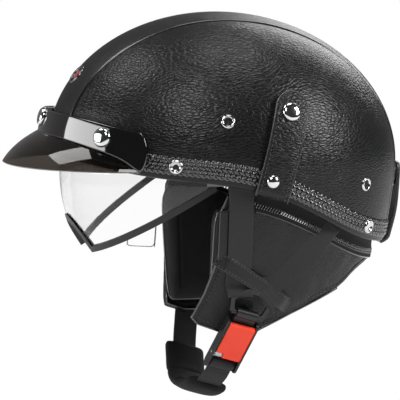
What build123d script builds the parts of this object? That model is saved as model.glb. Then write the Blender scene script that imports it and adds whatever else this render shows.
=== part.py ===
from build123d import *
from math import atan2, cos, degrees, radians, sin, sqrt
import os

# The helmet stands level with its front towards -Y and the wearer's left towards +X.
# The origin is the centre of the dome's widest line, where the wearer's head holds it.

# Outer form of the leather-covered dome
shell_half_width = 114.0
shell_half_length = 138.6
shell_height = 110.3
skirt_fall = 260.0
shell_tilt = 5.8
form_depth = 150.0

# Layers from the outside inwards
leather_thickness = 1.6
shell_thickness = 4.0
foam_thickness = 25.6
comfort_thickness = 6.6
layer_gap = 0.2

# Gaps and overruns
soft_gap = 0.3
running_gap = 0.05
overrun = 40.0

# Lower edge in the side view, as shares of the half length and of the height
edge_line_shares = [
    (-1.10, 0.066),
    (-0.46, -0.078),
    (-0.19, -0.112),
    (0.09, -0.189),
    (0.40, -0.365),
    (0.69, -0.546),
    (1.10, -0.665),
]

# Line that the zipper and the hinge brackets hang from, a little below the edge
zip_line_shares = [
    (-1.10, 0.015),
    (-0.46, -0.13),
    (-0.19, -0.165),
    (0.09, -0.24),
    (0.40, -0.41),
    (0.69, -0.594),
    (1.10, -0.71),
]
foam_edge_lift = 2.5
comfort_edge_lift = 6.0

# Trim on the dome
strip_half_width = 33.0
seam_width = 1.0
piping_width = 2.4
piping_proud = 1.2
binding_height = 2.6
binding_proud = 0.9
braid_height = 16.0
braid_proud = 2.6
badge_width = 24.0
badge_length = 18.0
badge_rim = 2.4
badge_proud = 2.0
badge_height = 63.2
badge_face_share = 0.86

# Rivets
rivet_radius = 5.6
rivet_height = 2.2
rivet_well_radius = 3.2
rivet_well_depth = 1.0
rivet_shank_radius = 2.0
strap_rivet_front_y = -19.2
strap_rivet_front_z = 33.5
strap_rivet_rear_y = 97.3
strap_rivet_rear_z = -20.0
braid_rivet_front_y = -59.6
braid_rivet_rear_y = 101.5
braid_rivet_lift = 8.4
tab_rivet_lift = 9.0

# Peak and its band
peak_half_width = 108.8
peak_half_length = 132.3
peak_form_height = 60.0
peak_centre_y = -49.0
peak_centre_z = -20.6
peak_thickness = 2.5
peak_rim_z = -4.7
peak_reach = 190.0
band_gap = 7.3
band_thickness = 3.2
band_front_y = 150.0
band_front_top_z = 38.5
band_end_bottom_y = 88.0

# The band's upper line, and where it meets the peak, as shares of its front's place and height
band_line_shares = [(-1.1, 1.02), (-0.8, 0.86), (-0.587, 0.678), (-0.547, 0.508), (-0.537, 0.229), (-0.558, 0)]
peak_line_shares = [(-0.628, 0), (-0.692, 0.156), (-0.763, 0.26)]
peak_line_shares += [(-0.845, 0.364), (-0.915, 0.442), (-1.1, 0.519)]

snap_radius = 7.8
snap_height = 3.4
snap_round_share = 0.6
snap_sink = 0.6
snap_post_radius = 6.0
side_snap_y = -115.6
side_snap_z = 20.7
front_snap_z = 28.0

# Inner lens, a sheet round the axis that it turns about
lens_radius = 119.0
lens_half_width = 92.0
lens_thickness = 2.0
lens_pivot_y = -12.0
lens_pivot_z = -14.0
lens_low_angle = 32.0
lens_high_angle = 15.0
lens_stow_angle = 36.0
lens_clearance = 2.0
lens_edging_width = 5.0
lens_edging_thickness = 4.0
lens_hub_radius = 7.0
lens_foam_pocket = 14.0
notch_half_width = 24.0
notch_height = 28.0
notch_bottom_z = -80.0
finger_tab_width = 20.0
finger_tab_drop = 11.0
finger_tab_y = -79.0
pivot_radius = 3.0
pivot_head_radius = 5.5
pivot_head_thickness = 1.6
bracket_radius = 6.0
bracket_plate_front = 22.0
bracket_plate_rear = 7.0
bracket_plate_low = 3.0
bracket_plate_high = 18.0
bracket_plate_thickness = 2.4

# Holder tabs with a snap, one on each side and one at the back
tab_width = 26.0
tab_gap = 0.4
tab_thickness = 2.4
tab_hinge_gap = 1.5
tab_top_y = 31.0
tab_top_z = 40.5
tab_hinge_y = 19.3
tab_hinge_z = -2.0
tab_foot_y = 14.2
rear_tab_width = 24.0
rear_tab_top_z = -22.0
rear_tab_hinge_z = -56.0
stud_radius = 4.0

# Cover that hangs below the dome, as shares of the dome's height, half width and half length:
# height, half width, front reach and rear reach
cover_shares = [
    (0, 0.921, 0.924, 0.916),
    (-0.317, 0.899, 0.88, 0.898),
    (-0.68, 0.833, 0.851, 0.869),
    (-0.907, 0.741, 0.808, 0.844),
    (-1.269, 0.57, 0.649, 0.722),
]
flap_thickness = 6.0
flap_split_y = 30.0
flap_front_shares = [(-0.115, -0.199), (-0.162, -0.335), (-0.162, -0.635), (-0.224, -0.934), (-0.279, -1.121)]
cover_hem_shares = [
    (-0.245, -1.17),
    (-0.123, -1.227),
    (0.094, -1.233),
    (0.289, -1.111),
    (0.584, -0.947),
    (0.714, -0.825),
    (0.808, -0.789),
    (0.974, -0.762),
]

# Zipper between the dome and the cover
zip_start_y = 3.2
zip_tape_top = 2.9
zip_tape_height = 3.4
zip_teeth_height = 3.2
zip_tape_thickness = 1.5
zip_teeth_proud = 1.0
slider_y = 12.0
slider_travel = 18.0
slider_length = 9.0
slider_width = 7.0
slider_thickness = 2.0
slider_gap = 0.8
pull_length = 18.0
pull_width = 4.5
pull_thickness = 1.2
pull_pin_radius = 0.8

# Cheek pads
pad_top_x = 58.0
pad_bottom_x = 46.0
pad_depth = 45.0
pad_front_y = -32.0
pad_front_top_y = -16.0
pad_rear_y = 11.0
pad_top_z = -30.0
pad_front_top_z = -40.0
pad_bottom_z = -126.0
pad_side_draw = 1.6
pad_corner = 6.0

# Webbing and keepers
strap_width = 19.5
strap_thickness = 2.0
strap_side_room = 1.3
front_strap_shares = [(-0.159, 0.399), (-0.054, -0.181), (-0.054, -0.562), (-0.065, -0.852)]
rear_strap_shares = [(0.772, -0.091), (0.476, -0.462), (0.317, -0.689), (0.123, -0.848)]
strap_join = 12.0
keeper_shares = [(-0.17, -0.675), (0.043, -0.848), (0.267, -1.052)]
keeper_width = 12.0
keeper_thickness = 1.8
keeper_loop_top_z = -37.0
keeper_loop_width = 5.5
keeper_foot = 9.0

# Plane that the chin strap lies in, through the ring bars
strap_plane_y = -2.2
strap_plane_z = -112.5
strap_lean = 16.7
strap_yaw = 3.4
bar_reach = 86.0
bar_drop = 7.7
bar_radius = 2.0
chin_drop = 79.0
chin_line_shares = [(0.28, -1.0), (-0.19, -1.0), (-0.58, -0.70)]
chin_bend_radius = 26.0
leg_angle = 57.3

# Strap ring
ring_half_width = 17.0
ring_bar_half = 14.5
ring_side_height = 11.0
ring_top_height = 20.5
ring_top_half = 6.0
ring_rim = 3.2
ring_thickness = 3.0
ring_lean = 80.0

# Tongue and buckle, measured along the strap from the ring's bar
tongue_width = 17.0
tongue_thickness = 3.0
tongue_length = 25.0
tongue_eye_radius = 3.9
tongue_teeth = 5
tongue_tooth = 1.2
buckle_start = 6.0
buckle_end = 57.0
buckle_width = 26.0
buckle_wall = 2.0
buckle_low = 4.2
buckle_high = 4.6
buckle_corner = 3.8
web_start = 30.0
web_thickness = 1.8
end_bar_at = 52.0
lever_start = 8.5
lever_pivot_at = 41.0
lever_pivot_height = 2.4
lever_width = 20.6
lever_low = 2.0
lever_high = 6.6
lever_eye_radius = 3.4
lever_pin_radius = 1.5
lever_pin_proud = 0.5
spring_length = 6.0
spring_radius = 2.5
roll_radius = 4.8
roll_gap = 1.0
webbing_start = 57.5

# Chin pad
chin_pad_width = 33.0
chin_pad_thickness = 9.0
chin_pad_corner = 4.0
chin_pad_from_share = 0.14
chin_pad_to_share = 0.70
chin_eye_radius = 4.4

# Chosen from the sizes above
shell_outer = -leather_thickness
shell_inner = shell_outer - shell_thickness
foam_inner = shell_inner - foam_thickness
comfort_outer = foam_inner - layer_gap
comfort_inner = comfort_outer - comfort_thickness
tab_low = braid_proud + tab_gap
tab_high = tab_low + tab_thickness
strap_lift = zip_teeth_proud + soft_gap
form_reach = 2 * shell_half_length
formed = {}


# Shared forms

def save(name, shape):
    """Write one sub-part under the name that it keeps everywhere."""
    export_step(shape, f"parts/{name}.step")
    print(name, round(shape.volume), len(shape.solids()))


def keep_bodies(shape, least_share=0.02):
    """Keep the real bodies of a cut shape and drop the slivers that the cut left."""
    solids = shape.solids()
    largest = max(solid.volume for solid in solids)
    return Compound([solid for solid in solids if solid.volume > least_share * largest])


def dome(grow):
    """The dome's form, moved outwards by one distance, as a closed solid."""
    if grow not in formed:
        width = shell_half_width + grow
        length = shell_half_length + grow
        top = scale(Sphere(1, arc_size1=0, arc_size2=90, align=None), by=(width, length, shell_height + grow))
        low = scale(Sphere(1, arc_size1=-90, arc_size2=0, align=None), by=(width, length, skirt_fall + grow))
        low &= Pos(Z=-form_depth / 2) * Box(form_reach * 2, form_reach * 2, form_depth)
        formed[grow] = (top + low).rotate(Axis.X, -shell_tilt)
    return formed[grow]


def dome_x(y, z, grow=0):
    """How far out the dome's side lies at one place of the side view."""
    tilt = radians(shell_tilt)
    along = y * cos(tilt) - z * sin(tilt)
    up = y * sin(tilt) + z * cos(tilt)
    height = shell_height if up > 0 else skirt_fall
    rest = 1 - (along / (shell_half_length + grow)) ** 2 - (up / (height + grow)) ** 2
    return (shell_half_width + grow) * sqrt(rest)


def dome_y(x, z, side, grow=0):
    """How far forward (side -1) or back (side 1) the dome lies at one height."""
    reach = 0.0
    step = shell_half_length
    while step > soft_gap / 100:
        trial = reach + side * step
        if inside_dome(x, trial, z, grow):
            reach = trial
        step /= 2
    return reach


def inside_dome(x, y, z, grow):
    """Whether a point lies inside the dome's form."""
    tilt = radians(shell_tilt)
    along = y * cos(tilt) - z * sin(tilt)
    up = y * sin(tilt) + z * cos(tilt)
    height = shell_height if up > 0 else skirt_fall
    width_part = (x / (shell_half_width + grow)) ** 2
    length_part = (along / (shell_half_length + grow)) ** 2
    return width_part + length_part + (up / (height + grow)) ** 2 < 1


def dome_normal(x, y, z):
    """Outward direction of the dome at a point on it."""
    tilt = radians(shell_tilt)
    along = y * cos(tilt) - z * sin(tilt)
    up = y * sin(tilt) + z * cos(tilt)
    height = shell_height if up > 0 else skirt_fall
    nx = x / shell_half_width ** 2
    na = along / shell_half_length ** 2
    nu = up / height ** 2
    return Vector(nx, na * cos(tilt) + nu * sin(tilt), -na * sin(tilt) + nu * cos(tilt)).normalized()


def layer(outer, inner):
    """The space between two of the dome's forms."""
    return dome(outer) - dome(inner)


def side_prism(points):
    """A closed outline of the side view, taken right through the helmet."""
    face = make_face(Polyline(*points, close=True))
    return extrude(Plane.YZ * face, amount=form_reach, both=True)


def side_points(shares):
    """Points of the side view from their shares of the dome's half length and height."""
    return [(share_y * shell_half_length, share_z * shell_height) for share_y, share_z in shares]


def lifted(shares, lift):
    """A line's points in the side view, moved up by a distance."""
    return [(y, z + lift) for y, z in side_points(shares)]


def line_z(shares, y):
    """Height of a line of the side view at one place along the side."""
    line = Spline(*lifted(shares, 0))
    cut = line.intersect(Line((y, -form_reach), (y, form_reach)))
    return cut.vertices()[0].Y if hasattr(cut, "vertices") else cut[0].Y


def line_band(low_shares, low, high_shares, high):
    """What lies between two lines of the side view, each moved up by its own distance."""
    low_line = Spline(*lifted(low_shares, low))
    high_line = Spline(*reversed(lifted(high_shares, high)))
    ends = [Line(low_line @ 1, high_line @ 0), Line(high_line @ 1, low_line @ 0)]
    face = make_face([low_line, ends[0], high_line, ends[1]])
    return extrude(Plane.YZ * face, amount=form_reach, both=True)


def edge_band(low, high):
    """What lies between two lines that follow the lower edge."""
    return line_band(edge_line_shares, low, edge_line_shares, high)


def zip_band(low, high):
    """What lies between two lines that follow the zipper."""
    return line_band(zip_line_shares, low, zip_line_shares, high)


def strip_prism(start, end, width):
    """A straight strip of the side view, taken right through the helmet."""
    run = Vector(end[0] - start[0], end[1] - start[1])
    middle = ((start[0] + end[0]) / 2, (start[1] + end[1]) / 2)
    turn = degrees(atan2(run.Y, run.X))
    face = Pos(*middle) * Rot(Z=turn) * Rectangle(run.length, width)
    return extrude(Plane.YZ * face, amount=form_reach, both=True)


def disc_prism(centre, radius):
    """A round outline of the side view, taken right through the helmet."""
    return extrude(Plane.YZ * (Pos(*centre) * Circle(radius)), amount=form_reach, both=True)


def left_half(shape):
    """The part of a shape on the wearer's left."""
    return shape & Pos(X=form_reach / 2) * Box(form_reach, 4 * form_reach, 4 * form_reach)


def mirrored(shape):
    """The same shape on the other side of the helmet."""
    return mirror(shape, Plane.YZ)


def cover_sections():
    """The hanging cover's sections: height, half width, front reach and rear reach."""
    return [
        (height * shell_height, wide * shell_half_width, front * shell_half_length, rear * shell_half_length)
        for height, wide, front, rear in cover_shares
    ]


def cover(grow):
    """The hanging cover's outer form, moved outwards by one distance."""
    name = f"cover {grow}"
    if name not in formed:
        faces = []
        for z, half_width, front, rear in cover_sections():
            middle = (rear - front) / 2
            reach = (rear + front) / 2 + grow
            faces.append(Pos(0, middle, z) * Ellipse(half_width + grow, reach))
        formed[name] = loft(faces)
    return formed[name]


def cover_layer(outer, inner):
    """The space between two of the cover's forms."""
    return cover(outer) - cover(inner)


# Places of the rivets and straps, worked out from the edge line and the shares

edge_at = {y: line_z(edge_line_shares, y) for y in (braid_rivet_front_y, braid_rivet_rear_y, tab_foot_y)}
front_strap_line = side_points(front_strap_shares)
rear_strap_line = side_points(rear_strap_shares)
keeper_line = side_points(keeper_shares)
tab_rivet_z = edge_at[tab_foot_y] + tab_rivet_lift
strap_rivet_places = [(strap_rivet_front_y, strap_rivet_front_z), (strap_rivet_rear_y, strap_rivet_rear_z)]
braid_rivet_places = [(y, edge_at[y] + braid_rivet_lift) for y in (braid_rivet_front_y, braid_rivet_rear_y)]


def dome_plane(y, z, grow, side=1):
    """A plane on the dome's side, with its normal pointing outwards."""
    x = dome_x(y, z, grow)
    normal = dome_normal(x, y, z)
    origin = (side * x, y, z)
    return Plane(origin, x_dir=(0, normal.Z, -normal.Y), z_dir=(side * normal.X, normal.Y, normal.Z))


def rivet(base, bottom):
    """A round rivet with a sunk middle, its head on a plane and its shank below."""
    head = base * extrude(Circle(rivet_radius), amount=rivet_height)
    head = chamfer(head.edges().group_by(Axis(base.origin, base.z_dir))[-1], rivet_height / 3)
    floor = base.offset(rivet_height - rivet_well_depth)
    well = floor * extrude(Circle(rivet_well_radius), amount=rivet_height)
    shank = base * extrude(Circle(rivet_shank_radius), amount=-bottom)
    return head - well + shank


def shank_hole(base, bottom):
    """The room that a rivet's shank takes in what it holds."""
    return base.offset(rivet_height) * extrude(Circle(rivet_shank_radius), amount=-bottom - rivet_height)


strap_rivet_depth = leather_thickness + shell_thickness + strap_thickness - soft_gap
braid_rivet_depth = braid_proud + leather_thickness + shell_thickness - soft_gap
strap_rivet_planes = [dome_plane(y, z, 0, side) for y, z in strap_rivet_places for side in (1, -1)]
braid_rivet_planes = [dome_plane(y, z, braid_proud, side) for y, z in braid_rivet_places for side in (1, -1)]
tab_rivet_planes = [dome_plane(tab_foot_y, tab_rivet_z, tab_high, side) for side in (1, -1)]
tab_rivet_depth = tab_high + leather_thickness + shell_thickness - soft_gap
rivet_holes = [shank_hole(base, strap_rivet_depth) for base in strap_rivet_planes]
rivet_holes += [shank_hole(base, braid_rivet_depth) for base in braid_rivet_planes]
rivet_holes += [shank_hole(base, tab_rivet_depth) for base in tab_rivet_planes]


def cut_rivets(shape):
    """Cut the rivets' shank holes."""
    for hole in rivet_holes:
        shape -= hole
    return shape


# Shell, leather and trim

def make_shell():
    """The moulded shell under the leather."""
    return cut_rivets(layer(shell_outer, shell_inner) & edge_band(0, form_reach))


def make_covers():
    """The leather: a smooth strip over the middle and a grained panel on each side."""
    skin = cut_rivets(layer(0, shell_outer) & edge_band(0, form_reach))
    middle_width = 2 * strip_half_width - seam_width
    strip = skin & Box(middle_width, 2 * form_reach, 2 * form_reach)
    start = strip_half_width + seam_width / 2
    side = skin & Pos(X=start + form_reach / 2) * Box(form_reach, 2 * form_reach, 2 * form_reach)
    return strip, side


def make_piping():
    """The two corded seams beside the strip."""
    rib = Pos(X=strip_half_width) * Box(piping_width, 2 * form_reach, 2 * form_reach)
    ridge = layer(piping_proud, 0) & edge_band(braid_height, form_reach)
    bead = keep_bodies(ridge & rib)
    return Compound(bead.solids() + mirrored(bead).solids())


def make_binding():
    """The rolled leather that closes the edge of the shell and its cover."""
    return layer(binding_proud, shell_inner) & edge_band(-binding_height, 0)


def make_braid():
    """The braided band round the lower edge."""
    return cut_rivets(layer(braid_proud, 0) & edge_band(0, braid_height))


def make_badge():
    """A plain oval badge high on the front: its rim and its face."""
    y = dome_y(0, badge_height, -1)
    normal = dome_normal(0, y, badge_height)
    base = Plane((0, y, badge_height), x_dir=(1, 0, 0), z_dir=tuple(normal))
    face_shape = Ellipse(badge_width / 2 - badge_rim, badge_length / 2 - badge_rim)
    outer = base * extrude(Ellipse(badge_width / 2, badge_length / 2), amount=badge_width / 2, both=True)
    inner = base * extrude(face_shape, amount=badge_width / 2, both=True)
    rim = layer(badge_proud, 0) & outer - inner
    face = layer(badge_proud * badge_face_share, 0) & inner
    return rim, face


# Peak

def band_points(shares):
    """Points of the side view from their shares of the band's front place and height."""
    return [(share_y * band_front_y, share_z * band_front_top_z) for share_y, share_z in shares]


def make_band_outline():
    """The peak band in the side view, from its front top round to its front bottom."""
    lowest = [(-band_end_bottom_y, peak_rim_z)]
    return band_points(band_line_shares) + lowest + band_points(peak_line_shares)


def make_band():
    """The gloss band that carries the peak on its snaps."""
    return keep_bodies(layer(band_gap + band_thickness, band_gap) & side_prism(make_band_outline()))


def peak_form(grow):
    """The peak's domed form, moved outwards by one distance."""
    unit = scale(Sphere(1), by=(peak_half_width + grow, peak_half_length + grow, peak_form_height + grow))
    return Pos(0, peak_centre_y, peak_centre_z) * unit


def make_peak():
    """The smoked peak in front of the band."""
    outline = [(-peak_reach, peak_rim_z), (-band_end_bottom_y, peak_rim_z)]
    outline += band_points(peak_line_shares) + [(-peak_reach, band_front_top_z)]
    sheet = peak_form(0) - peak_form(-peak_thickness)
    return keep_bodies((sheet & side_prism(outline)) - dome(band_gap))


def snap_planes(grow):
    """Planes at the three peak snaps, at a distance out from the dome."""
    x = dome_x(side_snap_y, side_snap_z)
    normal = dome_normal(x, side_snap_y, side_snap_z)
    planes = []
    for side in (1, -1):
        place = Vector(side * x, side_snap_y, side_snap_z)
        outward = Vector(side * normal.X, normal.Y, normal.Z)
        planes.append(Plane(place + outward * grow, x_dir=(0, 0, 1), z_dir=outward))
    front_y = dome_y(0, front_snap_z, -1)
    outward = dome_normal(0, front_y, front_snap_z)
    place = Vector(0, front_y, front_snap_z) + outward * grow
    planes.append(Plane(place, x_dir=(0, 0, 1), z_dir=outward))
    return planes


def snap_cap(base, radius, height):
    """A domed snap cap standing on a plane."""
    disc = base * extrude(Circle(radius), amount=height)
    return fillet(disc.edges().group_by(Axis(base.origin, base.z_dir))[-1], height * snap_round_share)


def make_peak_snaps():
    """The caps on the band and the posts that hold the band off the dome."""
    outer = band_gap + band_thickness
    height = snap_height + snap_sink
    caps = [snap_cap(base, snap_radius, height) - dome(outer) for base in snap_planes(outer - snap_sink)]
    posts = []
    for base in snap_planes(-leather_thickness):
        post = base * extrude(Circle(snap_post_radius), amount=band_gap + 2 * leather_thickness)
        posts += keep_bodies(post & layer(band_gap, 0)).solids()
    return Compound(caps), Compound(posts)


# Inner lens

def lens_form(grow):
    """The lens's form, widest on its own pivot axis, moved outwards by one distance."""
    radius = lens_radius + grow
    return Pos(0, lens_pivot_y, lens_pivot_z) * scale(Sphere(1), by=(lens_half_width + grow, radius, radius))


def lens_point(angle, reach):
    """A point of the side view, seen from the lens pivot at an angle up from straight ahead."""
    turn = radians(angle)
    return (lens_pivot_y - reach * cos(turn), lens_pivot_z + reach * sin(turn))


def lens_wedge(low_angle, high_angle, lift=0.0):
    """What the lens covers in the side view, its lower side raised by a distance."""
    far = 2 * lens_radius
    shift = (-lift * sin(radians(low_angle)), lift * cos(radians(low_angle)))
    low = [lens_point(-low_angle, reach) for reach in (0, far)]
    low = [(y + shift[0], z + shift[1]) for y, z in low]
    return side_prism([low[0], low[1], lens_point(high_angle, far)])


def notch(grow):
    """The room for the nose, as an arch taken forward through the lens."""
    arch = Plane.XZ * (Pos(0, notch_bottom_z) * Ellipse(notch_half_width + grow, notch_height + grow))
    return extrude(arch, amount=form_reach)


def make_lens():
    """The clear lens with its finger tab, and the rubber edging along its lower rim."""
    inner_edge = lens_edging_width / 2
    sheet = lens_form(0) - lens_form(-lens_thickness)
    hub = disc_prism((lens_pivot_y, lens_pivot_z), lens_hub_radius)
    tab_z = lens_point(-lens_low_angle, (lens_pivot_y - finger_tab_y) / cos(radians(lens_low_angle)))[1]
    tab_top = (finger_tab_y, tab_z + finger_tab_drop)
    tab = strip_prism(tab_top, (finger_tab_y, tab_z - finger_tab_drop), finger_tab_width)
    area = lens_wedge(lens_low_angle, lens_high_angle, inner_edge) - notch(inner_edge) + hub + left_half(tab)
    bore = disc_prism((lens_pivot_y, lens_pivot_z), pivot_radius + running_gap)
    lens = sheet & (area - bore)
    spread = (lens_edging_thickness - lens_thickness) / 2
    rim = lens_form(spread) - lens_form(-lens_thickness - spread)
    whole = lens_wedge(lens_low_angle, lens_high_angle) - notch(0)
    inside = lens_wedge(lens_low_angle, 2 * lens_high_angle, lens_edging_width) - notch(lens_edging_width)
    rim = (rim & whole) - inside - disc_prism((lens_pivot_y, lens_pivot_z), 2 * lens_hub_radius) - lens
    return keep_bodies(lens), keep_bodies(rim)


def bracket_outline(front, rear):
    """A hinge bracket's plate in the side view, between two places measured back from the pivot."""
    low = lens_pivot_z - bracket_plate_low
    high = lens_pivot_z + bracket_plate_high
    return [
        (lens_pivot_y + front, low),
        (lens_pivot_y + rear, low),
        (lens_pivot_y + rear, high),
        (lens_pivot_y + front, high),
    ]


def make_bracket():
    """The left hinge bracket: a foot on the shell, a plate under the webbing and a bored boss."""
    start = lens_half_width + soft_gap
    plate_out = shell_inner - strap_thickness - soft_gap
    plate_in = plate_out - bracket_plate_thickness
    centre = Pos(start + overrun / 2, lens_pivot_y, lens_pivot_z)
    boss = (centre * Cylinder(bracket_radius, overrun, rotation=(0, 90, 0))) & dome(plate_out)
    plate_area = side_prism(bracket_outline(-bracket_plate_front, bracket_plate_rear))
    foot_area = side_prism(bracket_outline(-bracket_plate_front, -bracket_plate_front / 2))
    plate = left_half(layer(plate_out, plate_in) & plate_area)
    foot = left_half(layer(shell_inner, plate_in) & foot_area)
    bore = Pos(start, lens_pivot_y, lens_pivot_z) * Cylinder(pivot_radius, overrun, rotation=(0, 90, 0))
    webbing_room = dome(shell_inner) - cover(strap_lift - soft_gap)
    webbing_room &= edge_band(-strap_join, soft_gap)
    return keep_bodies((boss + plate + foot - bore - webbing_room) & zip_band(0, form_reach))


def make_pivot_screw():
    """The left shoulder screw that the lens turns on."""
    head_start = lens_half_width - lens_thickness - soft_gap - pivot_head_thickness
    screw_end = lens_half_width + soft_gap + overrun / 2
    head = Pos(head_start + pivot_head_thickness / 2, lens_pivot_y, lens_pivot_z) * Cylinder(
        pivot_head_radius, pivot_head_thickness, rotation=(0, 90, 0)
    )
    length = screw_end - head_start - overrun / 4
    shank = Pos(head_start + length / 2, lens_pivot_y, lens_pivot_z) * Cylinder(
        pivot_radius, length, rotation=(0, 90, 0)
    )
    return head + shank


# Foam and comfort liners

def strap_channel():
    """The room that the webbing needs between the shell and the foam."""
    depth = strap_thickness + 2 * soft_gap
    room = dome(shell_inner + overrun) - dome(shell_inner - depth)
    width = strap_width + 2 * strap_side_room
    strips = [strip_prism(line[0], line[1], width) for line in (front_strap_line, rear_strap_line)]
    return [room & strip for strip in strips]


def make_foam():
    """The impact liner, with room for the lens, its hinges and the webbing."""
    foam = layer(shell_inner, foam_inner) & edge_band(foam_edge_lift, form_reach)
    for channel in strap_channel():
        foam -= channel
    sweep = lens_wedge(4 * lens_high_angle, lens_high_angle + lens_stow_angle + lens_high_angle / 2)
    kept = lens_form(-lens_thickness - lens_clearance)
    foam -= sweep - kept
    for side in (1, -1):
        pocket = Cylinder(lens_foam_pocket, 2 * overrun, rotation=(0, 90, 0))
        start = lens_half_width - lens_thickness - lens_clearance
        foam -= Pos(side * (start + overrun), lens_pivot_y, lens_pivot_z) * pocket
    depth = strap_thickness + bracket_plate_thickness + 2 * soft_gap
    outline = bracket_outline(-bracket_plate_front - soft_gap, bracket_plate_rear + soft_gap)
    foam -= side_prism(outline) & layer(overrun, shell_inner - depth)
    return keep_bodies(foam)


def make_comfort():
    """The padded lining against the head."""
    return layer(comfort_outer, comfort_inner) & edge_band(comfort_edge_lift, form_reach)


# Holder tabs

tab_run = Vector(tab_top_y - tab_hinge_y, tab_top_z - tab_hinge_z).normalized()


def along_tab(distance):
    """A place on the side tab's middle line, measured up from its hinge."""
    return (tab_hinge_y + tab_run.X * distance, tab_hinge_z + tab_run.Y * distance)


def make_side_tab():
    """The left holder tab's leaf and its fixed foot."""
    skin = layer(tab_high, tab_low)
    top = (tab_top_y, tab_top_z)
    leaf_area = strip_prism(along_tab(tab_hinge_gap / 2), top, tab_width) + disc_prism(top, tab_width / 2)
    leaf = left_half(skin & leaf_area)
    foot_area = strip_prism(along_tab(-tab_hinge_gap / 2), along_tab(-overrun), tab_width)
    foot = left_half(skin & foot_area & edge_band(-binding_height, form_reach))
    wrap_area = foot_area & edge_band(-2 * binding_height, -binding_height)
    wrap = left_half(layer(tab_high, binding_proud) & wrap_area)
    wrap += left_half(layer(tab_low, binding_proud) & foot_area & edge_band(-binding_height, 0))
    return keep_bodies(leaf), keep_bodies(cut_rivets(foot + wrap))


def make_tab_snap(base_y, base_z):
    """The left tab's snap cap on the leaf and its stud on the dome."""
    base = dome_plane(base_y, base_z, tab_high - snap_sink)
    cap = snap_cap(base, snap_radius, snap_height + snap_sink) - dome(tab_high)
    post = dome_plane(base_y, base_z, -leather_thickness) * extrude(Circle(stud_radius), amount=overrun / 4)
    stud = keep_bodies(post & layer(tab_low - soft_gap, 0))
    return cap, stud


def make_rear_tab():
    """The tab at the centre of the back: leaf, foot, snap cap and stud."""
    half = rear_tab_width / 2
    back = Pos(Y=form_reach / 2) * Box(rear_tab_width, form_reach, 2 * form_reach)
    skin = layer(tab_high, tab_low) & back
    leaf_low = rear_tab_hinge_z + tab_hinge_gap / 2
    leaf_middle = Pos(Z=(leaf_low + rear_tab_top_z) / 2)
    leaf = skin & leaf_middle * Box(form_reach, 2 * form_reach, rear_tab_top_z - leaf_low)
    round_end = extrude(Plane.XZ * (Pos(0, rear_tab_top_z) * Circle(half)), amount=-form_reach)
    leaf += layer(tab_high, tab_low) & round_end
    foot_top = rear_tab_hinge_z - tab_hinge_gap / 2
    foot = skin & Pos(Z=foot_top - form_reach / 2) * Box(form_reach, 2 * form_reach, form_reach)
    foot &= edge_band(-binding_height, form_reach)
    tip = layer(tab_high, 0) & back & edge_band(-2 * binding_height, -binding_height)
    foot += tip - layer(binding_proud, shell_inner)
    y = dome_y(0, rear_tab_top_z, 1)
    outward = dome_normal(0, y, rear_tab_top_z)
    place = Vector(0, y, rear_tab_top_z)
    base = Plane(place + outward * (tab_high - snap_sink), x_dir=(1, 0, 0), z_dir=outward)
    cap = snap_cap(base, snap_radius, snap_height + snap_sink) - dome(tab_high)
    stud_base = Plane(place, x_dir=(1, 0, 0), z_dir=outward)
    post = stud_base * extrude(Circle(stud_radius), amount=overrun / 4, both=True)
    stud = post & layer(tab_low - soft_gap, 0)
    return keep_bodies(leaf), keep_bodies(foot), cap, keep_bodies(stud)


# Ear flaps, neck curtain and zipper

def cover_area():
    """The hanging cover in the side view."""
    front = side_points(flap_front_shares)
    hem = side_points(cover_hem_shares)
    return side_prism(front + hem + [(hem[-1][0] + overrun, 0), (front[0][0], 0)])


def make_flaps():
    """The left ear flap and the neck curtain."""
    zip_bottom = zip_tape_top + 2 * zip_tape_height + zip_teeth_height
    wall = cover_layer(0, -flap_thickness) & cover_area()
    front = wall & edge_band(-form_reach, -zip_tape_top) & side_prism(box_points(-form_reach, zip_start_y))
    front -= disc_prism((lens_pivot_y, lens_pivot_z), bracket_radius + soft_gap)
    middle = wall & zip_band(-form_reach, -zip_bottom) & side_prism(box_points(zip_start_y, flap_split_y))
    curtain = wall & zip_band(-form_reach, -zip_bottom) & side_prism(box_points(flap_split_y, form_reach))
    flap = keep_bodies(left_half(front)) + keep_bodies(left_half(middle))
    return keep_bodies(flap), keep_bodies(curtain)


def box_points(start, end):
    """A tall box of the side view between two places along the helmet."""
    return [(start, -form_reach), (end, -form_reach), (end, form_reach), (start, form_reach)]


def make_zipper():
    """The upper tape, the closed teeth and the lower tape, from side to side round the back."""
    area = side_prism(box_points(zip_start_y, form_reach))
    top = -zip_tape_top
    teeth_top = top - zip_tape_height
    teeth_bottom = teeth_top - zip_teeth_height
    bottom = teeth_bottom - zip_tape_height
    tape = cover_layer(0, -zip_tape_thickness) & area
    upper = tape & line_band(zip_line_shares, teeth_top, edge_line_shares, top)
    flange = (dome(shell_inner) - cover(-zip_tape_thickness)) & area & edge_band(top, -leather_thickness)
    for line in (front_strap_line, rear_strap_line):
        flange -= strip_prism(line[0], line[1], strap_width + soft_gap)
        flange -= strip_prism(line[1], line[2], strap_width + soft_gap)
        flange -= disc_prism(line[1], strap_width / 2 + soft_gap)
    upper += flange
    teeth = cover_layer(zip_teeth_proud, -zip_tape_thickness) & area & zip_band(teeth_bottom, teeth_top)
    lower = tape & zip_band(bottom, teeth_bottom)
    return keep_bodies(upper), keep_bodies(teeth), keep_bodies(lower)


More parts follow.
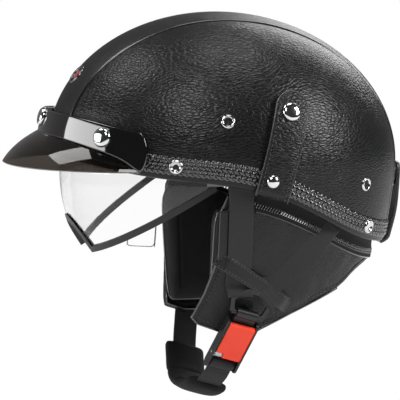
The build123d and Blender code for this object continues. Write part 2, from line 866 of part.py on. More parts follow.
def zip_plane(y):
    """A plane on the right-hand zipper with its normal outwards and its x along the teeth."""
    drop = zip_tape_top + zip_tape_height + zip_teeth_height / 2
    ends = []
    for place in (slider_y, slider_y + slider_travel):
        z = line_z(zip_line_shares, place) - drop
        ends.append(Vector(-cover_x(place, z, zip_teeth_proud + slider_gap), place, z))
    run = (ends[1] - ends[0]).normalized()
    outward = (Vector(-1, 0, 0) + run * run.X).normalized()
    return Plane(ends[0] + run * (y - slider_y), x_dir=run, z_dir=outward)


def cover_x(y, z, grow):
    """How far out the cover's side lies at one place of the side view, between its sections."""
    upper, lower = cover_sections()[:2]
    share = (z - upper[0]) / (lower[0] - upper[0])
    half_width, front, rear = [upper[i] + share * (lower[i] - upper[i]) for i in (1, 2, 3)]
    reach = (front + rear) / 2 + grow
    return (half_width + grow) * sqrt(1 - ((y - (rear - front) / 2) / reach) ** 2)


def make_slider():
    """The zipper's slider on the right, its pull and the eye that the pull hangs from."""
    base = zip_plane(slider_y)
    plate = base * Pos(Z=slider_thickness / 2) * Box(slider_length, slider_width, slider_thickness)
    plate = fillet(plate.edges().filter_by(Axis(base.origin, base.z_dir)), slider_width / 4)
    pin_z = slider_thickness + 2 * pull_pin_radius
    ears = []
    for side in (1, -1):
        at = side * (pull_width / 2 + soft_gap + pull_pin_radius)
        ear = Box(pull_pin_radius, slider_width / 2, pin_z)
        ears.append(base * Pos(at, 0, pin_z / 2 + pull_pin_radius) * ear)
    pin_length = pull_width + 2 * soft_gap + 2 * pull_pin_radius
    pin = base * Pos(0, 0, pin_z) * Cylinder(pull_pin_radius, pin_length, rotation=(0, 90, 0))
    slider = plate + ears[0] + ears[1] + pin
    down = base.y_dir if base.y_dir.Z < 0 else base.y_dir * -1
    side = 1 if base.y_dir.Z < 0 else -1
    eye = base * Pos(0, 0, pin_z) * Cylinder(2 * pull_pin_radius, pull_width, rotation=(0, 90, 0))
    body = base * Pos(0, side * pull_length / 2, pin_z) * Box(pull_width, pull_length, pull_thickness)
    bore = base * Pos(0, 0, pin_z) * Cylinder(pull_pin_radius + running_gap, overrun, rotation=(0, 90, 0))
    pull = eye + body - bore
    hinge = base.origin + base.z_dir * pin_z
    print("zip slide axis", base.x_dir, "pull hinge", hinge, "pull axis", base.x_dir, "down", down)
    return slider, pull


# Cheek pads

def pad_face(share):
    """The cheek pad's outline at one depth, with its sides drawn in, as a share of its full size."""
    corners = [
        (pad_front_y, pad_front_top_z),
        (pad_front_top_y, pad_top_z),
        (pad_rear_y, pad_top_z),
        (pad_rear_y, pad_bottom_z),
        (pad_front_y, pad_bottom_z),
    ]
    middle = Vector((pad_front_y + pad_rear_y) / 2, (pad_top_z + pad_bottom_z) / 2)
    points = [middle + (Vector(*corner) - middle) * share for corner in corners]
    sides = []
    for start, end in zip(points, points[1:] + points[:1]):
        half = (start + end) / 2
        inward = (middle - half).normalized() * pad_side_draw
        sides.append(ThreePointArc(start, half + inward, end))
    face = make_face(sides)
    return fillet(face.vertices(), pad_corner * share)


def make_cheek_pad():
    """The left cheek pad, crowned towards the face."""
    slope = (pad_top_x - pad_bottom_x) / (pad_top_z - pad_bottom_z)
    depth_shares = [(0.0, 0.8), (0.1, 0.93), (0.22, 1.0), (1.0, 1.0)]
    faces = []
    for depth_share, size_share in depth_shares:
        tilt = Plane((pad_top_x + depth_share * pad_depth, 0, pad_top_z), x_dir=(0, 1, 0), z_dir=(1, 0, -slope))
        faces.append(tilt * (Pos(0, -pad_top_z) * pad_face(size_share)))
    return keep_bodies(loft(faces) & cover(-flap_thickness - soft_gap))


# Webbing straps and keepers

def make_strap(line):
    """One left webbing strap: down inside the shell, out under its edge and on to the ring."""
    inside = layer(shell_inner, shell_inner - strap_thickness) & strip_prism(line[0], line[1], strap_width)
    inside &= edge_band(-strap_join / 3, form_reach)
    outside_area = strip_prism(line[1], line[2], strap_width) + strip_prism(line[2], line[3], strap_width)
    outside_area += disc_prism(line[2], strap_width / 2)
    low_strip = strip_prism(line[0], line[1], strap_width) + disc_prism(line[1], strap_width / 2)
    outside = cover_layer(strap_thickness + strap_lift, strap_lift) & (outside_area + low_strip)
    outside &= edge_band(-form_reach, -strap_join / 6)
    join = dome(shell_inner) - cover(strap_lift)
    join &= (low_strip + outside_area) & edge_band(-strap_join / 2, 0)
    return keep_bodies(cut_rivets(left_half(inside + join + outside)))


def make_keeper():
    """The left leather keeper band across both straps, with its fixed ends."""
    lift = strap_lift + strap_thickness + soft_gap
    strips = [strip_prism(a, b, keeper_width) for a, b in zip(keeper_line, keeper_line[1:])]
    joint = disc_prism(keeper_line[1], keeper_width / 2)
    band = cover_layer(lift + keeper_thickness, lift) & (strips[0] + strips[1] + joint)
    start, end = keeper_line[0], keeper_line[-1]
    feet = disc_prism(start, keeper_foot / 2) + disc_prism(end, keeper_foot / 2)
    loop_y = start[0] + keeper_loop_width / 2
    feet += strip_prism((loop_y, start[1]), (loop_y, keeper_loop_top_z), keeper_loop_width)
    band += cover_layer(lift + keeper_thickness, 0) & feet & cover_area()
    return keep_bodies(left_half(band) - ring_room())


# Chin strap

def turned(vector, axis, angle):
    """A direction turned about an axis."""
    return vector.rotate(axis, angle)


across = turned(Vector(1, 0, 0), Axis.Z, strap_yaw)
lean_up = turned(Vector(0, 0, 1), Axis.X, -strap_lean)
strap_front = across.cross(lean_up).normalized()
rise = strap_front.cross(across).normalized()
strap_plane = Plane((0, strap_plane_y, strap_plane_z), x_dir=across, z_dir=strap_front)


def in_strap(x, s):
    """A point in the strap's plane, from the middle and up."""
    return strap_plane.from_local_coords(Vector(x, s, 0))


def leg_direction(side):
    """The direction down a leg of the strap from its ring."""
    turn = radians(leg_angle)
    return across * (-side * cos(turn)) - rise * sin(turn)


bar_points = {side: in_strap(side * bar_reach, -bar_drop) for side in (1, -1)}
buckle_plane = Plane(bar_points[1], x_dir=leg_direction(1), z_dir=strap_front)


def in_buckle(shape, along, out, forward=0):
    """Place a shape in the buckle: along the strap, outwards and towards the front."""
    return buckle_plane * Pos(along, out, forward) * shape


def block(start, end, low, high, width, forward=0):
    """A block of the buckle from its ends along the strap and its heights."""
    middle = ((start + end) / 2, (low + high) / 2)
    return in_buckle(Box(end - start, high - low, width), middle[0], middle[1], forward)


def rod(at, out, radius, width, forward=0):
    """A round bar across the strap."""
    return in_buckle(Cylinder(radius, width), at, out, forward)


def ring_base(side):
    """The plane of a strap ring, and which way its own y runs up the ring."""
    up = across * (side * cos(radians(ring_lean))) + rise * sin(radians(ring_lean))
    base = Plane(bar_points[side], x_dir=strap_front, z_dir=strap_front.cross(up))
    return base, 1 if base.y_dir.dot(up) > 0 else -1


def ring_room():
    """The room that the left ring takes, cut out of the keeper."""
    base, sign = ring_base(1)
    room = Box(2 * ring_half_width, ring_top_height + soft_gap, ring_thickness + 2 * soft_gap)
    return base * Pos(0, sign * (ring_top_height + soft_gap) / 2) * room


def make_ring(side):
    """A strap ring: a six-sided plate frame with a round lower bar."""
    base, sign = ring_base(side)
    half_low, half_wide = ring_bar_half, ring_half_width
    outline = [
        (-half_low, 0),
        (half_low, 0),
        (half_wide, ring_side_height),
        (ring_top_half, ring_top_height),
        (-ring_top_half, ring_top_height),
        (-half_wide, ring_side_height),
    ]
    face = make_face(Polyline(*[(x, sign * y) for x, y in outline], close=True))
    hole = offset(face, amount=-ring_rim, kind=Kind.INTERSECTION)
    hole += Pos(0, -sign * ring_rim / 2) * Rectangle(2 * (half_low - ring_rim), 3 * ring_rim)
    frame = base * extrude(face - hole, amount=ring_thickness / 2, both=True)
    bar = base * Cylinder(bar_radius, 2 * half_low - ring_rim, rotation=(0, 90, 0))
    return frame + bar


def make_tongue():
    """The toothed tongue that hangs from the left ring."""
    half = tongue_thickness / 2
    plate = block(0, tongue_length, -half, half, tongue_width)
    for count in range(tongue_teeth):
        start = tongue_length - (count + 1) * 2 * tongue_tooth
        plate -= block(start, start + tongue_tooth, half - tongue_tooth / 2, 2 * half, tongue_width)
    eye = rod(0, 0, tongue_eye_radius, tongue_width)
    return plate + eye - rod(0, 0, bar_radius + running_gap, 2 * tongue_width)


def make_buckle():
    """The buckle's frame, end bar, pin, spring and lever."""
    wall_at = (buckle_width - buckle_wall) / 2
    frame = None
    for side in (1, -1):
        wall = block(buckle_start, buckle_end, -buckle_low, buckle_high, buckle_wall, side * wall_at)
        edges = wall.edges().filter_by(Axis(buckle_plane.origin, buckle_plane.z_dir))
        wall = fillet(edges, buckle_corner)
        frame = wall if frame is None else frame + wall
    web_end = end_bar_at - roll_radius - roll_gap
    frame += block(web_start, web_end, -buckle_low, -buckle_low + web_thickness, buckle_width)
    frame += rod(end_bar_at, 0, bar_radius, buckle_width)
    pin_place = (lever_pivot_at, lever_pivot_height)
    frame -= rod(*pin_place, lever_pin_radius, 2 * buckle_width)
    pin = rod(*pin_place, lever_pin_radius, buckle_width + 2 * lever_pin_proud)
    return frame, pin


def make_lever():
    """The red release lever and the spring that returns it."""
    lip = lever_high - lever_low
    eye_start = lever_pivot_at - lever_eye_radius
    lever = block(lever_start, eye_start, lever_low, lever_high, lever_width)
    corner = lever.edges().filter_by(Axis(buckle_plane.origin, buckle_plane.z_dir))
    lever = fillet(corner.group_by(Axis(buckle_plane.origin, buckle_plane.x_dir))[0], lip / 3)
    eye_width = lever_width - spring_length - soft_gap
    shift = -(lever_width - eye_width) / 2
    eye = rod(lever_pivot_at, lever_pivot_height, lever_eye_radius, eye_width, shift)
    arm = block(eye_start - soft_gap, lever_pivot_at, lever_low, lever_high, eye_width, shift)
    arm &= rod(lever_pivot_at, lever_pivot_height, 2 * lever_eye_radius, 2 * lever_width)
    hole = rod(lever_pivot_at, lever_pivot_height, lever_pin_radius + running_gap, 2 * lever_width)
    lever = lever + eye + arm - hole
    coil_at = (lever_width - spring_length) / 2
    coil = rod(lever_pivot_at, lever_pivot_height, spring_radius, spring_length - soft_gap, coil_at)
    coil -= rod(lever_pivot_at, lever_pivot_height, lever_pin_radius, 2 * lever_width)
    return lever, coil


def chin_path():
    """The lower webbing's middle line in the strap's plane, from the buckle to the right ring."""
    turn = radians(leg_angle)
    left = Vector(bar_reach, -bar_drop)
    down = Vector(-cos(turn), -sin(turn))
    right = Vector(-bar_reach, -bar_drop)
    points = [left + down * webbing_start, left + down * (webbing_start + strap_width / 2)]
    points += [Vector(x * bar_reach, s * chin_drop) for x, s in chin_line_shares]
    points += [right + (points[-1] - right).normalized() * (chin_eye_radius - strap_thickness / 4)]
    return FilletPolyline(*points, radius=[chin_bend_radius / 2] + [chin_bend_radius] * 3)


def make_webbing():
    """The lower webbing with its eye on the right ring's bar, the roll at the end bar and the pad."""
    line = chin_path()
    path = strap_plane * line
    start = Plane(path @ 0, x_dir=strap_front, z_dir=path % 0)
    webbing = sweep(start * Rectangle(strap_width, strap_thickness), path=path)
    hinge = Plane(bar_points[-1], x_dir=across, z_dir=strap_front)
    webbing += hinge * Cylinder(chin_eye_radius, strap_width)
    webbing -= hinge * Cylinder(bar_radius + running_gap, 2 * strap_width)
    roll = rod(end_bar_at, 0, roll_radius, strap_width) - rod(end_bar_at, 0, bar_radius, 2 * strap_width)
    pad_line = path.trim(chin_pad_from_share, chin_pad_to_share)
    pad_start = Plane(pad_line @ 0, x_dir=strap_front, z_dir=pad_line % 0)
    section = RectangleRounded(chin_pad_width, chin_pad_thickness, chin_pad_corner)
    pad = sweep(pad_start * section, path=pad_line)
    pad -= sweep(start * Rectangle(strap_width + layer_gap, strap_thickness + layer_gap), path=path)
    return webbing, roll, pad


# Write every sub-part

def write_pair(name, shape):
    """Write a left sub-part and its mirror image."""
    save(f"{name}_left", shape)
    save(f"{name}_right", mirrored(shape))


def write_dome():
    """Write the shell, its leather, trim and liners."""
    save("shell", make_shell())
    strip, side = make_covers()
    save("cover_strip", strip)
    write_pair("cover_panel", side)
    save("piping", make_piping())
    save("edge_binding", make_binding())
    save("braid_trim", make_braid())
    rim, face = make_badge()
    save("badge_rim", rim)
    save("badge_face", face)
    save("foam_liner", make_foam())
    save("comfort_liner", make_comfort())


def write_rivets():
    """Write the rivets, grouped by kind."""
    save("strap_rivets", Compound([rivet(base, strap_rivet_depth) for base in strap_rivet_planes]))
    save("braid_rivets", Compound([rivet(base, braid_rivet_depth) for base in braid_rivet_planes]))
    save("tab_rivets", Compound([rivet(base, tab_rivet_depth) for base in tab_rivet_planes]))


def write_peak():
    """Write the peak, its band and its snaps."""
    save("peak_band", make_band())
    save("peak", make_peak())
    caps, posts = make_peak_snaps()
    save("peak_snap_caps", caps)
    save("peak_snap_posts", posts)


def write_lens():
    """Write the inner lens and its hinges."""
    lens, edging = make_lens()
    save("lens", lens)
    save("lens_edging", edging)
    write_pair("lens_bracket", make_bracket())
    screw = make_pivot_screw()
    save("lens_pivot_screws", Compound([screw, mirrored(screw)]))


def write_tabs():
    """Write the holder tabs, their feet, snaps and studs."""
    leaf, foot = make_side_tab()
    write_pair("side_tab", leaf)
    write_pair("side_tab_foot", foot)
    cap, stud = make_tab_snap(tab_top_y, tab_top_z)
    write_pair("side_tab_snap", cap)
    rear_leaf, rear_foot, rear_cap, rear_stud = make_rear_tab()
    save("rear_tab", rear_leaf)
    save("rear_tab_foot", rear_foot)
    save("rear_tab_snap", rear_cap)
    save("tab_studs", Compound(stud.solids() + mirrored(stud).solids() + rear_stud.solids()))


def write_cover():
    """Write the ear flaps, the neck curtain, the zipper and the cheek pads."""
    flap, curtain = make_flaps()
    write_pair("ear_flap", flap)
    save("neck_curtain", curtain)
    upper, teeth, lower = make_zipper()
    save("zip_tape_upper", upper)
    save("zip_teeth", teeth)
    save("zip_tape_lower", lower)
    slider, pull = make_slider()
    save("zip_slider", slider)
    save("zip_pull", pull)
    write_pair("cheek_pad", make_cheek_pad())


def write_straps():
    """Write the webbing, the keepers, the rings, the buckle and the chin pad."""
    write_pair("front_strap", make_strap(front_strap_line))
    write_pair("rear_strap", make_strap(rear_strap_line))
    write_pair("strap_keeper", make_keeper())
    for name, side in (("left", 1), ("right", -1)):
        save(f"strap_ring_{name}", make_ring(side))
    save("buckle_tongue", make_tongue())
    frame, pin = make_buckle()
    save("buckle_frame", frame)
    save("buckle_pin", pin)
    lever, coil = make_lever()
    save("buckle_lever", lever)
    save("lever_spring", coil)
    webbing, roll, pad = make_webbing()
    save("chin_webbing", webbing)
    save("webbing_roll", roll)
    save("chin_pad", pad)


os.makedirs("parts", exist_ok=True)
write_straps()
write_cover()
write_tabs()
write_lens()
write_peak()
write_rivets()
write_dome()
side_hinge = Vector(dome_x(tab_hinge_y, tab_hinge_z, tab_high), tab_hinge_y, tab_hinge_z)
side_axis = Vector(0, tab_run.X, tab_run.Y).cross(dome_normal(*side_hinge)).normalized()
print("side tab hinge", side_hinge, "axis", side_axis)
print("rear tab hinge", dome_y(0, rear_tab_hinge_z, 1, tab_high), rear_tab_hinge_z)
print("lever pin", in_buckle(Vertex(0, 0, 0), lever_pivot_at, lever_pivot_height).center())
print("left bar", bar_points[1], "right bar", bar_points[-1], "strap front", strap_front)
print("leg direction", leg_direction(1), "buckle outward", buckle_plane.y_dir)
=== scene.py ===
# %% [markdown]
# # A half shell motorcycle helmet, dressed
# The CAD model gives every piece its true place and size. This file gives the pieces their looks:
# grained leather, braided trim, woven webbing, padded flaps, chrome snaps and clear plastic.
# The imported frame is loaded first, because every piece is measured against it.

# %% Load the frame
import bpy
import bmesh
import math
from mathutils import Matrix, Vector, noise


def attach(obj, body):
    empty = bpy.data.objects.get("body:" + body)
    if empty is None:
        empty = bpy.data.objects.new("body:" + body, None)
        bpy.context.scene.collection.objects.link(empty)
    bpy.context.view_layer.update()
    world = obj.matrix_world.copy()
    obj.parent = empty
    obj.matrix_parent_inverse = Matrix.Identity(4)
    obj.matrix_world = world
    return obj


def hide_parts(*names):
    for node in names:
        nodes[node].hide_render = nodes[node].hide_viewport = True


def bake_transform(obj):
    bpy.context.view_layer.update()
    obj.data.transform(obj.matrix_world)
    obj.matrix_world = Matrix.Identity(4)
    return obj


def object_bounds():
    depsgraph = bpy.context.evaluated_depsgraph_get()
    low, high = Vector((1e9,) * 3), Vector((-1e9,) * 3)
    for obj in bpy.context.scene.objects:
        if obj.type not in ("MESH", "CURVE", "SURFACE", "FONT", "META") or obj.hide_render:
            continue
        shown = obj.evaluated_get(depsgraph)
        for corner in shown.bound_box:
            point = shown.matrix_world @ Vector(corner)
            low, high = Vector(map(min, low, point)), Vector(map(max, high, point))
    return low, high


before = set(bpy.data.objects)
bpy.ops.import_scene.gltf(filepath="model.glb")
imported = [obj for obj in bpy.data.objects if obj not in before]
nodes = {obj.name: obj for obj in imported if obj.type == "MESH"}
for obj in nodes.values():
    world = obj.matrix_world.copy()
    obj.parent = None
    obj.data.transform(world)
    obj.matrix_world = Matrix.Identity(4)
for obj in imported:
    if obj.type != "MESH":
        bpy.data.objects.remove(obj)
cad_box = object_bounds()
mm = 0.001
print("CAD nodes:", len(nodes))

# %% [markdown]
# ## The dome
# The shell is two half ellipsoids that share one widest line: a round top, and a long skirt that drops
# almost straight. Each piece on it lies at its own height over that form, so one function puts any point
# on it. A point is pushed out along its own ray from the centre, which keeps a grid even.

# %% The dome's form
HALF_WIDTH, HALF_LENGTH, HEIGHT, SKIRT = 114 * mm, 138.6 * mm, 110.3 * mm, 260 * mm
TILT = math.radians(5.8)


def tilted(y, z):
    """The side view's y and z in the dome's own tilted axes."""
    return y * math.cos(TILT) - z * math.sin(TILT), y * math.sin(TILT) + z * math.cos(TILT)


def dome_value(x, y, z, grow=0.0):
    """Below 1 inside the dome's form, 1 on it and more outside."""
    along, up = tilted(y, z)
    height = HEIGHT if up > 0 else SKIRT
    wide, long, tall = HALF_WIDTH + grow, HALF_LENGTH + grow, height + grow
    return (x / wide) ** 2 + (along / long) ** 2 + (up / tall) ** 2


def on_dome(point, grow=0.0):
    """A point pushed out along its ray until it lies on the dome."""
    return Vector(point) / math.sqrt(dome_value(*point, grow))


def dome_normal(point):
    """The dome's outward direction at a point."""
    x, y, z = point
    along, up = tilted(y, z)
    height = HEIGHT if up > 0 else SKIRT
    a, u = along / HALF_LENGTH ** 2, up / height ** 2
    y_part = a * math.cos(TILT) + u * math.sin(TILT)
    z_part = u * math.cos(TILT) - a * math.sin(TILT)
    return Vector((x / HALF_WIDTH ** 2, y_part, z_part)).normalized()


def last_inside(inside, high, rounds=40):
    """The largest number up to a limit that passes a test, found by halving."""
    low = 0.0
    for _ in range(rounds):
        middle = (low + high) / 2
        low, high = (middle, high) if inside(middle) else (low, middle)
    return low


def dome_reach(turn, z, grow, rounds):
    """How far out the dome lies at one compass angle and height."""
    sine, cosine = math.sin(turn), math.cos(turn)

    def inside(reach):
        return dome_value(reach * sine, -reach * cosine, z, grow) < 1

    return last_inside(inside, 2 * HALF_LENGTH, rounds)


print("dome half width", HALF_WIDTH)

# %% [markdown]
# ## Smooth lines through a few places
# The lower edge, the hem and the straps are each given by a handful of places. A natural cubic spline
# joins them without kinks, as the CAD outline does.

# %% A smooth line through places
def natural_spline(xs, ys):
    """A function that passes smoothly through the given places."""
    count = len(xs)
    steps = [xs[i + 1] - xs[i] for i in range(count - 1)]
    low, middle, high, right = [0.0] * count, [1.0] * count, [0.0] * count, [0.0] * count
    for i in range(1, count - 1):
        low[i], high[i] = steps[i - 1], steps[i]
        middle[i] = 2 * (steps[i - 1] + steps[i])
        right[i] = 6 * ((ys[i + 1] - ys[i]) / steps[i] - (ys[i] - ys[i - 1]) / steps[i - 1])
    for i in range(1, count):
        share = low[i] / middle[i - 1]
        middle[i] -= share * high[i - 1]
        right[i] -= share * right[i - 1]
    bend = [0.0] * count
    for i in range(count - 2, -1, -1):
        bend[i] = (right[i] - high[i] * bend[i + 1]) / middle[i]

    def value(x):
        x = min(max(x, xs[0]), xs[-1])
        i = max(k for k in range(count - 1) if xs[k] <= x)
        h = steps[i]
        a, b = (xs[i + 1] - x) / h, (x - xs[i]) / h
        return a * ys[i] + b * ys[i + 1] + ((a ** 3 - a) * bend[i] + (b ** 3 - b) * bend[i + 1]) * h * h / 6

    return value


def straight_line(xs, ys):
    """A function that joins the given places with straight runs."""
    def value(x):
        x = min(max(x, xs[0]), xs[-1])
        i = max(k for k in range(len(xs) - 1) if xs[k] <= x)
        share = (x - xs[i]) / (xs[i + 1] - xs[i])
        return ys[i] + share * (ys[i + 1] - ys[i])

    return value


def scaled(shares, size):
    """Shares of one size, as real sizes."""
    return [share * size for share in shares]


EDGE_YS = [-1.10, -0.46, -0.19, 0.09, 0.40, 0.69, 1.10]
edge_z = natural_spline(
    scaled(EDGE_YS, HALF_LENGTH),
    scaled([0.066, -0.078, -0.112, -0.189, -0.365, -0.546, -0.665], HEIGHT),
)
print("edge at the side", round(edge_z(0.0), 4))

# %% [markdown]
# ## Places round the lower edge
# The braid, the binding and the zipper all run round the helmet. They are placed by a compass angle:
# 0 is the front, 90 the wearer's left and 180 the back. A few rounds of correction find the height at
# which that angle meets the edge line.

# %% Round the edge by angle
def rim_point(angle, lift, grow=0.0):
    """The place on the dome at one compass angle, a distance above its lower edge."""
    turn = math.radians(angle)
    z = 0.0
    for _ in range(12):
        reach = dome_reach(turn, z, grow, 30)
        z = edge_z(-reach * math.cos(turn)) + lift
    return Vector((reach * math.sin(turn), -reach * math.cos(turn), z))


def on_level(turn, height_at, grow):
    """The dome's place at a compass angle, where its height follows a line of the side view."""
    z = 0.02
    for _ in range(10):
        reach = dome_reach(turn, z, grow, 26)
        z = height_at(reach * math.cos(turn))
    return Vector((reach * math.sin(turn), -reach * math.cos(turn), z))


def dome_side(y, z, side=1, grow=0.0):
    """The place on the dome's side at one spot of the side view, and its normal."""
    x = last_inside(lambda reach: dome_value(reach, y, z, grow) < 1, 2 * HALF_WIDTH)
    return Vector((side * x, y, z)), dome_normal((side * x, y, z))


def dome_back(x, z, grow=0.0):
    """The place on the back of the dome at one spot of the rear view, and its normal."""
    y = last_inside(lambda reach: dome_value(x, reach, z, grow) < 1, 2 * HALF_LENGTH)
    return Vector((x, y, z)), dome_normal((x, y, z))


print("front of the rim", rim_point(0, 0))

# %% [markdown]
# ## How a piece is made
# Most soft pieces here are sheets that follow a curved form. Blender's grid operator makes an even net,
# and a small function moves each of its points to its place. The net also keeps a UV map in metres, so a
# weave has its real pitch. A thickness and a rounded rim come from Solidify and Bevel.

# %% Grids, walls and finished objects
def grid_mesh(columns, rows, place, size=(1.0, 1.0), close_u=False, close_v=False):
    """A grid whose points are moved by place(u, v), with u and v from 0 to 1."""
    bm = bmesh.new()
    uv = bm.loops.layers.uv.new("UVMap")
    bmesh.ops.create_grid(bm, x_segments=columns, y_segments=rows, size=0.5, calc_uvs=False)
    for face in bm.faces:
        for loop in face.loops:
            loop[uv].uv = ((loop.vert.co.x + 0.5) * size[0], (loop.vert.co.y + 0.5) * size[1])
    for vert in bm.verts:
        vert.co = Vector(place(vert.co.x + 0.5, vert.co.y + 0.5))
    if close_u or close_v:
        bmesh.ops.remove_doubles(bm, verts=bm.verts, dist=0.00001)
    return bm


def face_out(bm, centre=(0, 0, 0)):
    """Turn an open sheet's faces away from a point inside."""
    middle = Vector(centre)
    votes = [(face.calc_center_median() - middle).dot(face.normal) * face.calc_area() for face in bm.faces]
    if sum(votes) < 0:
        bmesh.ops.reverse_faces(bm, faces=bm.faces)
    return bm


def close_up(bm):
    """Merge doubles and point a closed skin's faces outwards."""
    bmesh.ops.remove_doubles(bm, verts=bm.verts, dist=0.000001)
    bmesh.ops.recalc_face_normals(bm, faces=bm.faces)
    return bm


def finish_piece(name, bm, material, body="helmet_body", stands_for=(), smooth=True):
    """Make the object, give it its finish, and fix it to its CAD body."""
    bm.normal_update()
    mesh = bpy.data.meshes.new(name)
    bm.to_mesh(mesh)
    bm.free()
    mesh.polygons.foreach_set("use_smooth", [smooth] * len(mesh.polygons))
    obj = bpy.data.objects.new(name, mesh)
    bpy.context.scene.collection.objects.link(obj)
    mesh.materials.append(bpy.data.materials[material])
    if body:
        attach(obj, body)
    if stands_for:
        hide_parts(*stands_for)
    return obj


def thicken(obj, depth, rim=0.0, segments=2, rim_finish=None):
    """A wall of one depth inwards from the sheet, with its rim rounded and finished."""
    wall = obj.modifiers.new("Wall", "SOLIDIFY")
    wall.thickness, wall.offset, wall.use_even_offset = depth, -1, True
    if rim_finish:
        obj.data.materials.append(bpy.data.materials[rim_finish])
        wall.material_offset_rim = 1
    if rim:
        round_rim = obj.modifiers.new("Rim", "BEVEL")
        round_rim.width, round_rim.segments = rim, segments
        round_rim.limit_method, round_rim.angle_limit = "ANGLE", math.radians(50)
    return obj


def join_at(target, source, place=Matrix()):
    """Add a copy of one mesh to another at a place."""
    part = bpy.data.meshes.new("part")
    source.to_mesh(part)
    part.transform(place)
    target.from_mesh(part)
    bpy.data.meshes.remove(part)
    return target


def joined(bm, other):
    """Add a second mesh to the first and free it."""
    join_at(bm, other)
    other.free()
    return bm


def mirrored(points, side):
    """Places of the left side as they are, side 1, or on the right, side -1."""
    return [Vector((side * point.x, point.y, point.z)) for point in points]


def line_length(points):
    """How long a line of places is."""
    return sum((after - before).length for before, after in zip(points, points[1:]))


def tube_mesh(path, radius, sides=8, closed=False, flat=1.0):
    """A round or flattened cord along a list of points, from a grid wrapped round them."""
    count = len(path)
    spans = count if closed else count - 1
    frames = []
    for i, point in enumerate(path):
        ahead = path[(i + 1) % count] if closed or i + 1 < count else path[i]
        behind = path[i - 1] if closed or i > 0 else path[i]
        run = (ahead - behind).normalized()
        out = dome_normal(point) if point.length > 0 else Vector((0, 0, 1))
        out = (out - run * out.dot(run)).normalized()
        frames.append((point, out, run.cross(out)))

    def place(u, v):
        point, out, side = frames[round(u * spans) % count]
        turn = 2 * math.pi * v
        return point + out * (radius * flat * math.cos(turn)) + side * (radius * math.sin(turn))

    bm = grid_mesh(spans, sides, place, close_u=closed, close_v=True)
    if not closed:
        bmesh.ops.holes_fill(bm, edges=[edge for edge in bm.edges if edge.is_boundary])
    return close_up(bm)


SIDES = ((1, "left"), (-1, "right"))
print("helpers ready")

# %% [markdown]
# ## Finishes
# Real leather is thousands of small pillows between creases that run with its stretch. A Voronoi pattern
# gives the pillows, slow noise bends them into flowing lines, and a bump node turns the height into
# shading. The same group serves every leather piece with its own size, so it is built only once.

# %% Node helpers
def node_group(name, inputs, outputs, build):
    """A shader node group with named sockets, built once."""
    group = bpy.data.node_groups.new(name, "ShaderNodeTree")
    for label, kind, value in inputs:
        socket = group.interface.new_socket(label, in_out="INPUT", socket_type=kind)
        if value is not None:
            socket.default_value = value
    for label, kind in outputs:
        group.interface.new_socket(label, in_out="OUTPUT", socket_type=kind)
    build(group.nodes, group.links, group.nodes.new("NodeGroupInput"), group.nodes.new("NodeGroupOutput"))
    return group


def math_node(tree, operation, first, second=None, clamp=False):
    """A Math node fed by sockets or numbers."""
    node = tree[0].new("ShaderNodeMath")
    node.operation, node.use_clamp = operation, clamp
    for i, value in enumerate((first, second)):
        if hasattr(value, "is_output"):
            tree[1].new(value, node.inputs[i])
        elif value is not None:
            node.inputs[i].default_value = value
    return node.outputs[0]


def noise_node(tree, vector, scale, detail):
    """A Noise texture that follows a vector."""
    node = tree[0].new("ShaderNodeTexNoise")
    node.inputs["Scale"].default_value, node.inputs["Detail"].default_value = scale, detail
    tree[1].new(vector, node.inputs["Vector"])
    return node


def range_node(tree, value, source, target):
    """A Map Range node from one pair of ends to another."""
    node = tree[0].new("ShaderNodeMapRange")
    node.inputs["From Min"].default_value, node.inputs["From Max"].default_value = source
    node.inputs["To Min"].default_value, node.inputs["To Max"].default_value = target
    tree[1].new(value, node.inputs["Value"])
    return node.outputs[0]


def build_grain(nodes_, links, entry, end):
    """Pillows between creases, drawn out along the leather's stretch."""
    tree = (nodes_, links)
    bend = noise_node(tree, entry.outputs["Vector"], 26, 2)
    shift = nodes_.new("ShaderNodeVectorMath")
    shift.operation = "MULTIPLY_ADD"
    shift.inputs[1].default_value = (0.012, 0.012, 0.012)
    links.new(bend.outputs["Color"], shift.inputs[0])
    links.new(entry.outputs["Vector"], shift.inputs[2])
    stretch = nodes_.new("ShaderNodeVectorMath")
    stretch.operation = "MULTIPLY"
    links.new(shift.outputs[0], stretch.inputs[0])
    links.new(entry.outputs["Stretch"], stretch.inputs[1])
    cells = nodes_.new("ShaderNodeTexVoronoi")
    cells.feature = "DISTANCE_TO_EDGE"
    links.new(stretch.outputs[0], cells.inputs["Vector"])
    links.new(entry.outputs["Size"], cells.inputs["Scale"])
    pillow = math_node(tree, "POWER", math_node(tree, "MULTIPLY", cells.outputs[0], 2.2, True), 0.55)
    fine = noise_node(tree, stretch.outputs[0], 900, 4)
    slow = noise_node(tree, shift.outputs[0], 60, 3)
    deep = math_node(tree, "MULTIPLY", pillow, math_node(tree, "ADD", slow.outputs[0], 0.35))
    height = math_node(tree, "ADD", deep, math_node(tree, "MULTIPLY", fine.outputs[0], 0.22))
    links.new(height, end.inputs["Height"])
    patches = math_node(tree, "MULTIPLY", slow.outputs[0], 0.5)
    links.new(math_node(tree, "ADD", pillow, patches), end.inputs["Mask"])


grain_sockets = [("Vector", "NodeSocketVector", None), ("Stretch", "NodeSocketVector", (1.0, 1.0, 1.0))]
grain_sockets += [("Size", "NodeSocketFloat", 420.0)]
mask_out = [("Height", "NodeSocketFloat"), ("Mask", "NodeSocketFloat")]
leather_grain = node_group("Leather grain", grain_sockets, mask_out, build_grain)
print("built", leather_grain.name)

# %% [markdown]
# Webbing and knit cloth are woven at a fixed pitch. Two sine waves, one along and one across the piece's
# own UV map, cross to give the bumps of the yarn. Fine noise breaks the regularity, as fibres do.

